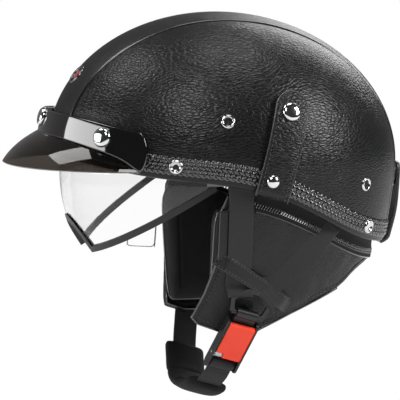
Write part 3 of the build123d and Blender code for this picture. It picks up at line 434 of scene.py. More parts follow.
# %% Weave and cloth groups
def build_weave(nodes_, links, entry, end):
    """Yarn bumps at a set pitch along and across, from a UV map in metres."""
    tree = (nodes_, links)
    split = nodes_.new("ShaderNodeSeparateXYZ")
    links.new(entry.outputs["Vector"], split.inputs[0])
    turn = math_node(tree, "DIVIDE", 2 * math.pi, entry.outputs["Pitch"])
    along = math_node(tree, "MULTIPLY", split.outputs["X"], turn)
    across = math_node(tree, "MULTIPLY", split.outputs["Y"], turn)
    lean = math_node(tree, "ADD", along, across)
    yarn = math_node(tree, "MULTIPLY", math_node(tree, "SINE", lean), math_node(tree, "SINE", across))
    fuzz = noise_node(tree, entry.outputs["Vector"], 1500, 3)
    wide = math_node(tree, "MULTIPLY_ADD", yarn, 0.5)
    height = math_node(tree, "ADD", wide, math_node(tree, "MULTIPLY", fuzz.outputs[0], 0.6))
    links.new(height, end.inputs["Height"])
    links.new(math_node(tree, "ADD", height, 0.2, True), end.inputs["Mask"])


weave_sockets = [("Vector", "NodeSocketVector", None), ("Pitch", "NodeSocketFloat", 0.0012)]
yarn_weave = node_group("Yarn weave", weave_sockets, mask_out, build_weave)


def build_wear(nodes_, links, entry, end):
    """Slow blotches and fine rubs, for uneven shine on any hard or soft surface."""
    tree = (nodes_, links)
    blotch = noise_node(tree, entry.outputs["Vector"], 5, 5)
    links.new(entry.outputs["Size"], blotch.inputs["Scale"])
    rub = noise_node(tree, entry.outputs["Vector"], 700, 6)
    links.new(math_node(tree, "MULTIPLY", blotch.outputs[0], rub.outputs[0]), end.inputs["Height"])
    links.new(blotch.outputs[0], end.inputs["Mask"])


wear_sockets = [("Vector", "NodeSocketVector", None), ("Size", "NodeSocketFloat", 40.0)]
rubbed_wear = node_group("Rubbed wear", wear_sockets, mask_out, build_wear)
print("groups:", len(bpy.data.node_groups))

# %% [markdown]
# ## Materials
# Each finish is a Principled material. Its pattern group feeds three things: a gentle change of colour,
# a change of roughness, and a bump. Numbers that are the same everywhere sit on the shader itself.

# %% Material helper
def make_finish(name, dark, light, rough, group, bump=0.2, depth=0.0003, uv=False, settings=(), **values):
    """A Principled material whose colour, shine and relief follow one pattern group."""
    material = bpy.data.materials.new(name)
    material.use_nodes = True
    tree, links = material.node_tree.nodes, material.node_tree.links
    shader = tree["Principled BSDF"]
    place = tree.new("ShaderNodeTexCoord")
    pattern = tree.new("ShaderNodeGroup")
    pattern.node_tree = group
    links.new(place.outputs["UV" if uv else "Object"], pattern.inputs["Vector"])
    for label, value in settings:
        pattern.inputs[label].default_value = value
    tint = tree.new("ShaderNodeMix")
    tint.data_type = "RGBA"
    tint.inputs["A"].default_value, tint.inputs["B"].default_value = (*dark, 1), (*light, 1)
    links.new(pattern.outputs["Mask"], tint.inputs["Factor"])
    links.new(tint.outputs["Result"], shader.inputs["Base Color"])
    shine = range_node((tree, links), pattern.outputs["Mask"], (0.0, 1.0), rough)
    links.new(shine, shader.inputs["Roughness"])
    if bump:
        relief = tree.new("ShaderNodeBump")
        relief.inputs["Strength"].default_value, relief.inputs["Distance"].default_value = bump, depth
        links.new(pattern.outputs["Height"], relief.inputs["Height"])
        links.new(relief.outputs[0], shader.inputs["Normal"])
    for label, value in values.items():
        shader.inputs[label.replace("_", " ")].default_value = value
    return material


def grey(value):
    """One neutral colour."""
    return (value, value, value * 1.03)


# %% Leather, cloth and thread
# Each row holds the finish's name, its darkest and lightest grey, its roughness at the low and the high end
# of the pattern, and the strength and depth of its bump.
def make_greys(rows, **shared):
    """Several grey finishes that share their pattern and their shader values."""
    for name, dark, light, rough, bump, depth in rows:
        make_finish(name, grey(dark), grey(light), rough, bump=bump, depth=depth, **shared)


matt = dict(group=leather_grain, Specular_IOR_Level=0.34)
side_grain = [("Size", 330.0), ("Stretch", (1.0, 0.62, 1.5))]
make_greys([
    ("panel leather", 0.002, 0.005, (0.42, 0.29), 0.5, 0.0005),
    ("tab leather", 0.002, 0.007, (0.44, 0.3), 0.6, 0.0006),
], settings=side_grain, **matt)
strip_grain = [("Size", 520.0), ("Stretch", (1.6, 1.0, 1.0))]
make_greys([("strip leather", 0.004, 0.010, (0.5, 0.36), 0.4, 0.0004)], settings=strip_grain, **matt)
make_greys([("flap leather", 0.003, 0.009, (0.55, 0.4), 0.6, 0.0005)], settings=[("Size", 460.0)], **matt)
sleek = dict(group=leather_grain, Specular_IOR_Level=0.75, Coat_Weight=0.7, Coat_Roughness=0.15)
make_greys([
    ("braid leather", 0.002, 0.006, (0.27, 0.17), 0.1, 0.0001),
    ("piping leather", 0.002, 0.006, (0.3, 0.2), 0.1, 0.0001),
], settings=[("Size", 900.0)], **sleek)
dull = dict(Specular_IOR_Level=0.2)
for size, group, row in (
    (90.0, rubbed_wear, ("pad cloth", 0.005, 0.011, (0.85, 0.65), 0.3, 0.0003)),
    (140.0, rubbed_wear, ("lining cloth", 0.004, 0.011, (0.9, 0.75), 0.4, 0.0004)),
    (260.0, leather_grain, ("impact foam", 0.008, 0.02, (0.85, 0.7), 0.2, 0.0003)),
):
    make_greys([row], group=group, settings=[("Size", size)], **dull)
for pitch, row in (
    (0.0016, ("webbing", 0.006, 0.03, (0.8, 0.6), 0.5, 0.0003)),
    (0.0009, ("zip tape", 0.003, 0.009, (0.85, 0.7), 0.4, 0.0002)),
):
    make_greys([row], group=yarn_weave, uv=True, settings=[("Pitch", pitch)], **dull)
print("soft finishes ready")

# %% Metal and plastic
make_greys([
    # Edge paint is real, but its grey is partly painted highlight: lighter than the leather, so tab and keeper
    # borders show as lit lines.
    ("edge paint", 0.03, 0.06, (0.34, 0.24), 0.1, 0.0001),
    # The thread's grey is partly painted highlight: lighter than the near-black thread, so the stitch rows show as
    # if lit.
    ("thread", 0.035, 0.07, (0.6, 0.45), 0.3, 0.0001),
    ("buckle black", 0.004, 0.01, (0.28, 0.42), 0.15, 0.0002),
    ("edging rubber", 0.003, 0.006, (0.34, 0.5), 0.1, 0.0002),
    ("shell plastic", 0.01, 0.02, (0.3, 0.4), 0.1, 0.0002),
], group=rubbed_wear)
make_greys([
    ("chrome", 0.62, 0.74, (0.05, 0.12), 0.02, 0.0001),
    ("dark metal", 0.10, 0.2, (0.22, 0.34), 0.05, 0.0001),
    ("brushed steel", 0.4, 0.52, (0.28, 0.4), 0.1, 0.0001),
    ("zip metal", 0.09, 0.18, (0.22, 0.34), 0.1, 0.0001),
], group=rubbed_wear, Metallic=1.0)
gloss = dict(group=rubbed_wear, Specular_IOR_Level=0.8, Coat_Weight=1.0)
make_greys([("band black", 0.002, 0.004, (0.04, 0.08), 0.01, 0.0001)], **gloss)
RED_DARK, RED_LIGHT = (0.78, 0.035, 0.008), (0.94, 0.055, 0.014)
make_finish("lever red", RED_DARK, RED_LIGHT, (0.32, 0.42), rubbed_wear, 0.08, 0.0002)
ENAMEL_DARK, ENAMEL_LIGHT = (0.42, 0.01, 0.01), (0.52, 0.015, 0.015)
make_finish("badge enamel", ENAMEL_DARK, ENAMEL_LIGHT, (0.1, 0.2), rubbed_wear, 0, Coat_Weight=0.8)
clear = dict(IOR=1.42, Transmission_Weight=1.0)
make_finish("clear plastic", (0.96,) * 3, (0.975,) * 3, (0.0, 0.0), rubbed_wear, 0, **clear)
smoke = dict(IOR=1.45, Transmission_Weight=1.0)
SMOKE_DARK, SMOKE_LIGHT = (0.045, 0.037, 0.031), (0.065, 0.054, 0.046)
make_finish("smoked plastic", SMOKE_DARK, SMOKE_LIGHT, (0.01, 0.03), rubbed_wear, 0, **smoke)
print("materials:", len(bpy.data.materials))

# %% [markdown]
# ## Leather over the dome
# The cover is cut in three: one smooth strip over the middle and one grained panel on each side. Each is
# a sheet between the seam and the lower edge. The seam is where an upright plane cuts the dome, so its
# places come from an angle in the side view.

# %% Places on a seam
def side_place(x, angle, grow=0.0):
    """The dome's place at one distance from the middle, seen at an angle up from straight ahead."""
    y, z = -math.cos(angle), math.sin(angle)
    along, up = tilted(y, z)
    height = HEIGHT if up > 0 else SKIRT
    spread = (along / (HALF_LENGTH + grow)) ** 2 + (up / (height + grow)) ** 2
    reach = math.sqrt((1 - (x / (HALF_WIDTH + grow)) ** 2) / spread)
    return Vector((x, reach * y, reach * z))


def seam_end(x, lift, low, high):
    """The angle at which a seam meets a line that lies a distance above the lower edge."""
    start, end = math.radians(low), math.radians(high)
    below = side_place(x, start).z < edge_z(side_place(x, start).y) + lift
    for _ in range(40):
        middle = (start + end) / 2
        place = side_place(x, middle)
        same = (place.z < edge_z(place.y) + lift) == below
        start, end = (middle, end) if same else (start, middle)
    return start


def seam_span(x, lift=0.0):
    """The angles at which a seam meets that line at the front and at the back."""
    return seam_end(x, lift, -25, 40), seam_end(x, lift, 230, 150)


def between(low, high, share):
    """A value or point between two others."""
    return low + (high - low) * share


SEAM = 33 * mm
print("seam runs to", round(math.degrees(seam_span(SEAM)[1])), "degrees")

# %% Side panels and middle strip
def panel_place(side, grow=0.0):
    """A function that lays a side panel over the dome."""
    first, last = seam_span(SEAM)
    turns = [math.degrees(math.atan2(SEAM, -side_place(SEAM, angle).y)) for angle in (first, last)]
    rim = {}

    def place(u, v):
        if u not in rim:
            rim[u] = rim_point(between(turns[0], turns[1], u), -0.4 * mm)
        seam = side_place(SEAM + 0.5 * mm, between(first, last, u))
        share = v ** 1.25
        sunk = 0.9 * mm * math.exp(-((share * (rim[u] - seam).length) / (1.6 * mm)) ** 2)
        point = on_dome(between(seam, rim[u], share), grow - sunk)
        return (side * point.x, point.y, point.z)

    return place


for side, word in SIDES:
    sheet = face_out(grid_mesh(150, 64, panel_place(side)))
    panel_obj = finish_piece("panel_" + word, sheet, "panel leather", stands_for=["cover_panel_" + word])
    thicken(panel_obj, 1.4 * mm)


def strip_place(u, v):
    """The middle strip over the dome, its borders sunk into the seams."""
    half = SEAM - 0.6 * mm
    x = between(-half, half, v)
    angle = between(*seam_span(x, -0.4 * mm), u)
    gap = half - abs(x)
    sunk = 0.8 * mm * math.exp(-(gap / (1.5 * mm)) ** 2)
    return side_place(x, angle, -sunk)


sheet = face_out(grid_mesh(150, 40, strip_place))
strip_obj = finish_piece("middle_strip", sheet, "strip leather", stands_for=["cover_strip"])
thicken(strip_obj, 1.4 * mm)
print("leather panels laid")

# %% [markdown]
# ## Piping and stitches
# A thin leather-covered cord stands in each seam, and a row of stitches holds the strip beside it. A
# stitch is a stretched icosphere, lying on the surface along the seam. Hundreds of them are one mesh,
# each with only twenty faces.

# %% Stitch rows
def add_stitches(target, row, normal=dome_normal, share=0.66, radius=0.38 * mm):
    """One stitch between each pair of even places."""
    for start, end in zip(row, row[1:]):
        middle, run = (start + end) / 2, end - start
        out = normal(middle)
        side = out.cross(run).normalized()
        out = run.cross(side).normalized()
        turn = Matrix((run.normalized(), side, out)).transposed().to_4x4()
        size = Matrix.Diagonal((run.length * share / 2, radius, radius * 0.8, 1))
        stand = Matrix.Translation(middle) @ turn @ size
        bmesh.ops.create_icosphere(target, subdivisions=1, radius=1, matrix=stand)


def resampled(points, step):
    """The same line with places at an even distance."""
    out, left = [points[0]], step
    for start, end in zip(points, points[1:]):
        run = end - start
        while run.length and left <= run.length:
            out.append(start + run * (left / run.length))
            left += step
        left -= run.length
    return out


def seam_line(x, grow, count=220, lift=16 * mm):
    """Places along a seam from the braid at the front to the braid at the back."""
    first, last = seam_span(x, lift)
    return [side_place(x, between(first, last, i / count), grow) for i in range(count + 1)]


cords = bmesh.new()
for x in (SEAM, -SEAM):
    joined(cords, tube_mesh(seam_line(x, 0.6 * mm, 180, 1 * mm), 1.5 * mm, 10))
finish_piece("seam_piping", close_up(cords), "piping leather", stands_for=["piping"])
rows = [resampled(seam_line(x, 0.15 * mm), 3.8 * mm) for x in (27.6 * mm, -27.6 * mm)]
stitches = bmesh.new()
for row in rows:
    add_stitches(stitches, row)
finish_piece("strip_stitches", stitches, "thread")
print("stitches along the strip:", sum(len(row) - 1 for row in rows))

# %% [markdown]
# ## Rolled edge and braid
# A strip of leather is rolled round the raw edge of the shell. Above it runs a flat braid of five
# strands. Each strand crosses the band in a zigzag, and lies over one strand and under the next, so its
# height is a wave that changes sign at each crossing. Five such strands, evenly shifted, make the braid.

# %% Rolled edge
# The section is given as the height above the edge and the distance out of the dome, in mm.
ROLL_LIFTS = [3.4, 2.6, 0.6, -1.4, -2.5, -2.8, -2.4, -0.8, 1.2]
ROLL_GROWS = [-0.2, 0.7, 1.1, 0.9, -0.4, -2.8, -4.9, -5.8, -5.7]
lift_of = natural_spline([i / 8 for i in range(9)], scaled(ROLL_LIFTS, mm))
grow_of = natural_spline([i / 8 for i in range(9)], scaled(ROLL_GROWS, mm))
rim_cache = {}


def cached_rim(angle, lift):
    """A place on the rim, worked out once per angle and height."""
    key = (round(angle, 3), round(lift, 5))
    if key not in rim_cache:
        rim_cache[key] = rim_point(angle, lift)
    return rim_cache[key]


def roll_place(u, v):
    """The rolled edge's section, carried round the helmet."""
    base = cached_rim(-180 + 360 * (u % 1.0), 0.0)
    return base + dome_normal(base) * grow_of(v) + Vector((0, 0, lift_of(v)))


roll = grid_mesh(300, 18, roll_place, close_u=True)
roll_obj = finish_piece("rolled_edge", face_out(roll), "strip leather", stands_for=["edge_binding"])
thicken(roll_obj, 0.5 * mm)
print("edge rolled")

# %% Five-strand braid
STRANDS, WAVES, BRAID_LOW, BRAID_HIGH = 5, 36, 2.6 * mm, 14.6 * mm
ring_low = [rim_point(-180 + 360 * i / 360, BRAID_LOW) for i in range(360)]
ring_high = [rim_point(-180 + 360 * i / 360, BRAID_HIGH) for i in range(360)]
run_far = [0.0]
for i in range(360):
    middle_now = (ring_low[i] + ring_high[i]) / 2
    middle_next = (ring_low[(i + 1) % 360] + ring_high[(i + 1) % 360]) / 2
    run_far.append(run_far[-1] + (middle_next - middle_now).length)
turn_at = straight_line(run_far, list(range(361)))


def band_place(share, rise, height):
    """The braid's place at a share of the way round, across the band, above the leather."""
    turn = turn_at((share % 1.0) * run_far[-1])
    i = int(turn) % 360
    part = turn - int(turn)
    low = between(ring_low[i], ring_low[(i + 1) % 360], part)
    high = between(ring_high[i], ring_high[(i + 1) % 360], part)
    point = between(low, high, rise)
    return point + dome_normal(point) * height


def strand_path(index, steps=28):
    """One strand's zigzag round the helmet, over and under the others."""
    path = []
    total = WAVES * steps
    for i in range(total):
        phase = (i / steps + index / STRANDS) % 1.0
        rise = 0.5 - 0.5 * math.cos(2 * math.pi * phase)
        rise = between(rise, 1 - abs(1 - 2 * phase), 0.45)
        side = max(-1.0, min(1.0, 4.0 * math.sin(2 * math.pi * phase)))
        weave = math.cos(2 * math.pi * STRANDS * phase) * side
        path.append(band_place(i / total, rise, (1.3 + 0.9 * weave) * mm))
    return path


braid = bmesh.new()
for index in range(STRANDS):
    joined(braid, tube_mesh(strand_path(index), 1.75 * mm, 8, closed=True, flat=0.55))
finish_piece("braided_trim", close_up(braid), "braid leather", stands_for=["braid_trim"])
print("braid strands:", STRANDS, "length round", round(run_far[-1], 3))

# %% [markdown]
# ## Rivets, snaps and the badge
# Round metal parts are turned on a lathe, so a profile is spun about its axis. The profile is a few
# points, and the spin is merged where it meets itself.

# %% Turned parts
def turned_mesh(profile, steps=32):
    """A profile of (radius, height) in mm, spun about Z."""
    bm = bmesh.new()
    verts = [bm.verts.new((radius * mm, 0, height * mm)) for radius, height in profile]
    edges = [bm.edges.new(pair) for pair in zip(verts, verts[1:])]
    centre, axis = (0, 0, 0), (0, 0, 1)
    turned = dict(cent=centre, axis=axis, angle=2 * math.pi, steps=steps, use_merge=True)
    bmesh.ops.spin(bm, geom=verts + edges, **turned)
    return close_up(bm)


def facing(point, normal, tangent=(0, 0, 1)):
    """A matrix that stands a part on a surface point, its Z along the normal."""
    up = Vector(normal).normalized()
    side = Vector(tangent).cross(up).normalized()
    return Matrix.Translation(point) @ Matrix((side, up.cross(side), up)).transposed().to_4x4()


well_rivet = [(0, 0.9), (1.9, 0.75), (2.9, 0.8), (3.3, 1.3), (3.7, 2.1), (4.4, 2.35)]
well_rivet += [(5.1, 2.0), (5.6, 1.1), (5.75, 0.1), (5.6, -0.5), (0, -0.5)]
dome_rivet = [(0, 3.3), (1.6, 3.2), (3.2, 2.7), (4.4, 1.9), (5.2, 0.9), (5.4, 0.1), (5.2, -0.4), (0, -0.4)]
snap_profile = [(0, 3.55), (2.4, 3.5), (4.4, 3.3), (5.9, 2.85), (6.9, 2.1)]
snap_profile += [(7.5, 1.1), (7.75, 0.3), (7.6, -0.2), (0, -0.2)]


def turned_set(name, profile, places, stands_for, body="helmet_body", material="chrome", steps=36):
    """The same turned part at several places, as one piece."""
    whole, single = bmesh.new(), turned_mesh(profile, steps)
    for point, normal in places:
        join_at(whole, single, facing(point, normal))
    single.free()
    return finish_piece(name, whole, material, body, stands_for)


strap_spots = [(-19.2 * mm, 33.5 * mm), (97.3 * mm, -20.0 * mm)]
strap_places = [dome_side(y, z, s) for y, z in strap_spots for s in (1, -1)]
turned_set("strap_rivet_heads", well_rivet, strap_places, ["strap_rivets"])
braid_spots = [(y * mm, edge_z(y * mm) + 8.4 * mm) for y in (-59.6, 101.5)]
braid_places = [dome_side(y, z, s, 2.2 * mm) for y, z in braid_spots for s in (1, -1)]
turned_set("braid_rivet_heads", well_rivet, braid_places, ["braid_rivets"])
TAB_HIGH = 5.4 * mm
tab_spot = (14.2 * mm, edge_z(14.2 * mm) + 9 * mm)
tab_places = [dome_side(*tab_spot, s, TAB_HIGH) for s in (1, -1)]
turned_set("tab_rivet_heads", dome_rivet, tab_places, ["tab_rivets"])
snap_spot = (31 * mm, 40.5 * mm)
for side, word in SIDES:
    place = [dome_side(*snap_spot, side, TAB_HIGH)]
    turned_set(f"tab_snap_{word}", snap_profile, place, ["side_tab_snap_" + word], f"side_tab_{word}_body")
print("turned parts placed")

# %% [markdown]
# ## Holder tabs
# Two leather tabs at the sides and one at the back hold a goggle strap. Each is one stitched tongue: its
# foot wraps under the edge, and its free end closes with a snap. The same net runs through the fold.

# %% A tongue with a round end
def tongue_frame(u, length, width, base, run):
    """A place down a tongue's middle and its half width there."""
    far = u * length
    half = width / 2
    past = far - (length - half)
    wide = half if past <= 0 else math.sqrt(max(half ** 2 - past ** 2, 0.0))
    return (base[0] + run[0] * far, base[1] + run[1] * far), wide


TAB_START, TAB_END = (12.6 * mm, -26.3 * mm), (31.0 * mm, 40.5 * mm)
TAB_WIDE, REAR_WIDE, TAB_WALL = 26 * mm, 24 * mm, 2.2 * mm


def tab_sheet(side):
    """The side tab laid on the dome, from under the edge to its round end."""
    start, end = TAB_START, TAB_END
    run = Vector((end[0] - start[0], end[1] - start[1]))
    length, run = run.length + 13 * mm, run.normalized()

    def place(u, v):
        share = 1 - (1 - u) ** 1.35
        spot, wide = tongue_frame(share, length, TAB_WIDE, start, run)
        offset = between(-wide, wide, v)
        y, z = spot[0] - run.y * offset, spot[1] + run.x * offset
        point, normal = dome_side(y, z, side, 0.0)
        lift = TAB_HIGH - 0.25 * mm * math.exp(-((wide - abs(offset)) / (1.2 * mm)) ** 2)
        under = max(0.0, 1 - share * length / (6 * mm))
        return point + normal * (lift - 5 * mm * under ** 2)

    return place


def laid(points_of, count, grow):
    """A line of places given in the side view, laid on the dome's left side."""
    row = []
    for i in range(count + 1):
        y, z = points_of(i / count)
        point, normal = dome_side(y, z, 1, 0.0)
        row.append(point + normal * grow)
    return row


def tab_border(t, inset=2.6 * mm):
    """The stitch line just inside the side tab's border, up one side, round and down."""
    start, end = Vector(TAB_START), Vector(TAB_END)
    run = (end - start).normalized()
    across = Vector((-run.y, run.x))
    half, straight = TAB_WIDE / 2 - inset, (end - start).length
    arc = math.pi * half
    far = t * (2 * straight + arc)
    if far < straight:
        spot = start + run * far - across * half
    elif far < straight + arc:
        turn = (far - straight) / half
        spot = end - across * half * math.cos(turn) + run * half * math.sin(turn)
    else:
        spot = end + across * half - run * (far - straight - arc)
    return spot.x, spot.y


border = resampled(laid(tab_border, 160, TAB_HIGH + 0.05 * mm), 3.6 * mm)
# The cord along this line and the tab's rim take the edge paint, whose light grey is partly painted highlight along
# the border.
edge_paint_highlight_row = laid(lambda t: tab_border(t, 0.1 * mm), 160, TAB_HIGH - 0.45 * mm)
for side, word in SIDES:
    sheet = face_out(grid_mesh(64, 16, tab_sheet(side)))
    tab_nodes = ["side_tab_" + word, "side_tab_foot_" + word]
    tab_obj = finish_piece("holder_tab_" + word, sheet, "tab leather", None, tab_nodes)
    thicken(tab_obj, TAB_WALL, 0.6 * mm, 2, "edge paint")
    rim_row = tube_mesh(mirrored(edge_paint_highlight_row, side), 0.55 * mm, 6)
    rim_obj = finish_piece("tab_edge_paint_and_highlight_" + word, rim_row, "edge paint", None)
    leaf_body = f"side_tab_{word}_body"
    for piece in (tab_obj, rim_obj):
        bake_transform(piece)
    row = mirrored(border, side)
    for body, part_name, moving in (("helmet_body", "foot", False), (leaf_body, "leaf", True)):
        thread = bmesh.new()
        for start, end in zip(row, row[1:]):
            if (start.z > -2 * mm) == moving:
                add_stitches(thread, [start, end])
        finish_piece(f"tab_{part_name}_stitches_{word}", thread, "thread", body)
print("side tabs made")

# %% Rear tab
BACK_TOP, BACK_FOLD, REAR_START = -22 * mm, -56 * mm, edge_z(125 * mm) - 5 * mm


def rear_tab_place(u, v):
    """The rear tab laid down the back, from its round top to under the edge."""
    length = BACK_TOP + REAR_WIDE / 2 - REAR_START
    share = 1 - (1 - u) ** 1.35
    spot, wide = tongue_frame(share, length, REAR_WIDE, (0, 0), (0, 1))
    x = between(-wide, wide, v)
    z = REAR_START + spot[1]
    point, normal = dome_back(x, z)
    bulge = 2.6 * mm * math.sin(math.pi * min(1.0, share * 1.15)) ** 2
    under = max(0.0, 1 - share * length / (6 * mm))
    return point + normal * (TAB_HIGH + bulge * 0.5 - 5 * mm * under ** 2)


sheet = face_out(grid_mesh(48, 14, rear_tab_place))
rear_obj = finish_piece("rear_holder_tab", sheet, "tab leather", None, ["rear_tab", "rear_tab_foot"])
# The rear tab's rim takes the edge paint too, whose light grey is partly painted highlight.
thicken(rear_obj, TAB_WALL, 0.6 * mm, 2, "edge paint")
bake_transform(rear_obj)
spot, out = dome_back(0, BACK_TOP)
snap_place = [(spot + out * TAB_HIGH, out)]
turned_set("rear_tab_snap_cap", snap_profile, snap_place, ["rear_tab_snap"], "rear_tab_body")
print("rear tab made")

# %% [markdown]
# ## Peak and its band
# The peak is a sheet of smoked plastic cut from an ellipsoid. The gloss band behind it follows the dome
# and holds it with three snaps. Both are nets between two lines of the side view, taken round the front.

# %% Peak and band
band_top = natural_spline(
    [0.0805, 0.0821, 0.088, 0.104, 0.120, 0.165],
    [0.0225, 0.0238, 0.0258, 0.0291, 0.0331, 0.0393],
)
band_low = natural_spline(
    [0.0805, 0.088, 0.0942, 0.1038, 0.1145, 0.1268, 0.1373, 0.165],
    [-0.0052, -0.0047, 0.0, 0.006, 0.010, 0.014, 0.017, 0.020],
)
BAND_HIGH = 10.5 * mm


def peak_band_place(u, v):
    """The band between its two lines, with round ends."""
    round_end = 0.088 - 7.4 * mm * math.sin(math.pi * min(1, max(0, v))) ** 0.55
    end_turn = math.atan2(0.1015, round_end)
    turn = between(-end_turn, end_turn, u)
    return on_level(turn, lambda y: between(band_low(y), band_top(y), v), BAND_HIGH)


sheet = face_out(grid_mesh(120, 16, peak_band_place))
band_obj = finish_piece("peak_band_gloss", sheet, "band black", stands_for=["peak_band"])
thicken(band_obj, 3.0 * mm, 0.8 * mm, 3)
PEAK_AXES, PEAK_CENTRE = Vector((108.8, 132.3, 60)) * mm, Vector((0, -49, -20.6)) * mm
PEAK_TURN, RIM_Z = math.radians(72.5), -4.9 * mm


def peak_level(turn, z):
    """The peak's place at a compass angle round its own centre, at one height."""
    wide = math.sqrt(max(0.0, 1 - ((z - PEAK_CENTRE.z) / PEAK_AXES.z) ** 2))
    y = PEAK_CENTRE.y - PEAK_AXES.y * wide * math.cos(turn)
    return Vector((PEAK_AXES.x * wide * math.sin(turn), y, z))


def peak_place(u, v):
    """The peak from its rim up to where it meets the band."""
    turn = between(-1, 1, u) * PEAK_TURN
    top = 0.01
    for _ in range(25):
        here = peak_level(turn, top)
        top = between(top, max(RIM_Z + 0.2 * mm, band_low(-here.y) + 0.6 * mm), 0.5)
    return peak_level(turn, between(RIM_Z, top, v))


sheet = face_out(grid_mesh(110, 22, peak_place), PEAK_CENTRE)
peak_obj = finish_piece("smoked_peak", sheet, "smoked plastic", stands_for=["peak"])
thicken(peak_obj, 2.4 * mm, 0.7 * mm, 3)
print("peak ends at", round(peak_place(0, 0).y, 4), round(peak_place(0, 0).x, 4))

# %% Peak snaps
side_snap = dome_side(-105.5 * mm, 19.0 * mm, 1)
front_snap = on_level(0, lambda y: 28 * mm, 0.0)
snap_places = [side_snap, mirrored(side_snap, -1), (front_snap, dome_normal(front_snap))]
snap_places = [(point + normal * BAND_HIGH, normal) for point, normal in snap_places]
turned_set("peak_snaps", snap_profile, snap_places, ["peak_snap_caps"])
post_profile = [(0, 0.2), (5.9, 0.2), (6.0, -0.4), (5.6, -4), (6.0, -7.2), (0, -7.2)]
posts = [(point - normal * 3.1 * mm, normal) for point, normal in snap_places]
turned_set("peak_posts", post_profile, posts, ["peak_snap_posts"], material="buckle black")
print("snaps:", len(snap_places))

# %% Badge
badge_at = on_level(0, lambda y: 63.2 * mm, 0.0)
badge_stand = facing(badge_at, dome_normal(badge_at)) @ Matrix.Diagonal((1.0, 0.78, 1, 1))
rim_profile = [(8.2, 0.6), (8.6, 1.7), (9.4, 2.2), (10.4, 1.9), (10.9, 0.9), (10.95, -0.6)]
face_profile = [(0, 1.5), (4, 1.42), (7, 1.1), (8.5, 0.8), (8.6, -0.4), (0, -0.4)]
for name, profile, finish, node in (
    ("badge_ring", rim_profile, "dark metal", "badge_rim"),
    ("badge_enamel", face_profile, "badge enamel", "badge_face"),
):
    badge = join_at(bmesh.new(), turned_mesh(profile, 40), badge_stand)
    finish_piece(name, badge, finish, stands_for=[node])
print("badge at", badge_at)

# %% [markdown]
# ## The cover that hangs below
# The ear flaps, the neck curtain, the zipper and the straps lie on a second form: an ellipse that narrows
# from level to level. Its width and its reach at each height come from three smooth lines.

# %% The cover's form
LEVELS = scaled([-1.269, -0.907, -0.68, -0.317, 0.0], HEIGHT)
cover_width = natural_spline(LEVELS, scaled([0.57, 0.741, 0.833, 0.899, 0.921], HALF_WIDTH))
cover_front = natural_spline(LEVELS, scaled([0.649, 0.808, 0.851, 0.88, 0.924], HALF_LENGTH))
cover_rear = natural_spline(LEVELS, scaled([0.722, 0.844, 0.869, 0.898, 0.916], HALF_LENGTH))
ZIP_ZS = [0.015, -0.13, -0.165, -0.24, -0.41, -0.594, -0.71]
zip_z = natural_spline(scaled(EDGE_YS, HALF_LENGTH), scaled(ZIP_ZS, HEIGHT))


STITCH_INSET = 4.2 * mm


def eased(value):
    """A share that starts and ends softly."""
    value = min(1.0, max(0.0, value))
    return value * value * (3 - 2 * value)


def cover_span(z):
    """The cover's middle and its reach along the helmet at one height."""
    front, rear = cover_front(z), cover_rear(z)
    return (rear - front) / 2, (rear + front) / 2


def cover_side(y, z, grow=0.0, side=1):
    """The cover's place at one spot of the side view."""
    middle, reach = cover_span(z)
    share = min(1.0, abs((y - middle) / (reach + grow)))
    return Vector((side * (cover_width(z) + grow) * math.sqrt(1 - share * share), y, z))


def cover_round(turn, z, grow=0.0):
    """The cover's place at an angle of its own ellipse: 0 is the front, half a turn the back."""
    middle, reach = cover_span(z)
    return Vector(((cover_width(z) + grow) * math.sin(turn), middle - (reach + grow) * math.cos(turn), z))


def outward(turn):
    """The level direction out of the cover at an angle."""
    return Vector((math.sin(turn), -math.cos(turn), 0))


def turn_of(y, z):
    """The angle at which the cover passes one place along the helmet, on the left."""
    middle, reach = cover_span(z)
    return math.acos(max(-1.0, min(1.0, (middle - y) / reach)))


def creases(point, size, depth):
    """Soft wrinkles of worn leather at a place."""
    return depth * noise.noise(Vector(point) / size)


print("cover half width under the edge", round(cover_width(-0.02), 4))

# %% Ear flaps
FLAP_FOOT, FLAP_HEAD = -0.1236, -0.022
FRONT_ZS = [FLAP_FOOT, -0.103, -0.070, -0.037, FLAP_HEAD]
flap_fronts = {
    1: straight_line(FRONT_ZS, [-0.0387, -0.031, -0.0225, -0.0225, -0.016]),
    -1: straight_line(FRONT_ZS, [-0.0315, -0.0285, -0.0255, -0.0235, -0.016]),
}
HEM_YS = [-0.0387, -0.034, -0.017, 0.013, 0.040, 0.081, 0.099, 0.112, 0.135]
hem_z = straight_line(HEM_YS, [FLAP_FOOT, -0.129, -0.1353, -0.136, -0.1225, -0.1045, -0.091, -0.087, -0.084])
SPLIT_Y, ZIP_FRONT, ZIP_TO_LEATHER = 30 * mm, 3.2 * mm, 12.4 * mm


def flap_top(y):
    """The upper line of the flap: the helmet's edge in front, the zipper's lower tape behind."""
    front = min(edge_z(y) - 2.9 * mm, between(-20.5 * mm, 0.0, eased((y + 6 * mm) / (4 * mm))))
    return between(front, zip_z(y) - ZIP_TO_LEATHER, eased((y - ZIP_FRONT + 1.5 * mm) / (3 * mm)))


def flap_spot(u, v, side):
    """A place of the side view on the flap, and how far it lies from the free border."""
    flap_front = flap_fronts[side]
    y, z = between(-0.03, SPLIT_Y, u), between(-0.03, -0.13, v)
    for _ in range(24):
        z = between(z, between(flap_top(y), hem_z(y), v), 0.5)
        y = between(y, between(flap_front(max(FLAP_FOOT, min(FLAP_HEAD, z))), SPLIT_Y, u), 0.5)
    return y, z, min(y - flap_front(z), z - hem_z(y))


def groove(inset, depth):
    """How deep the stitch line pulls the leather in, at a distance from the border."""
    return depth * math.exp(-((inset - STITCH_INSET) / (0.9 * mm)) ** 2)


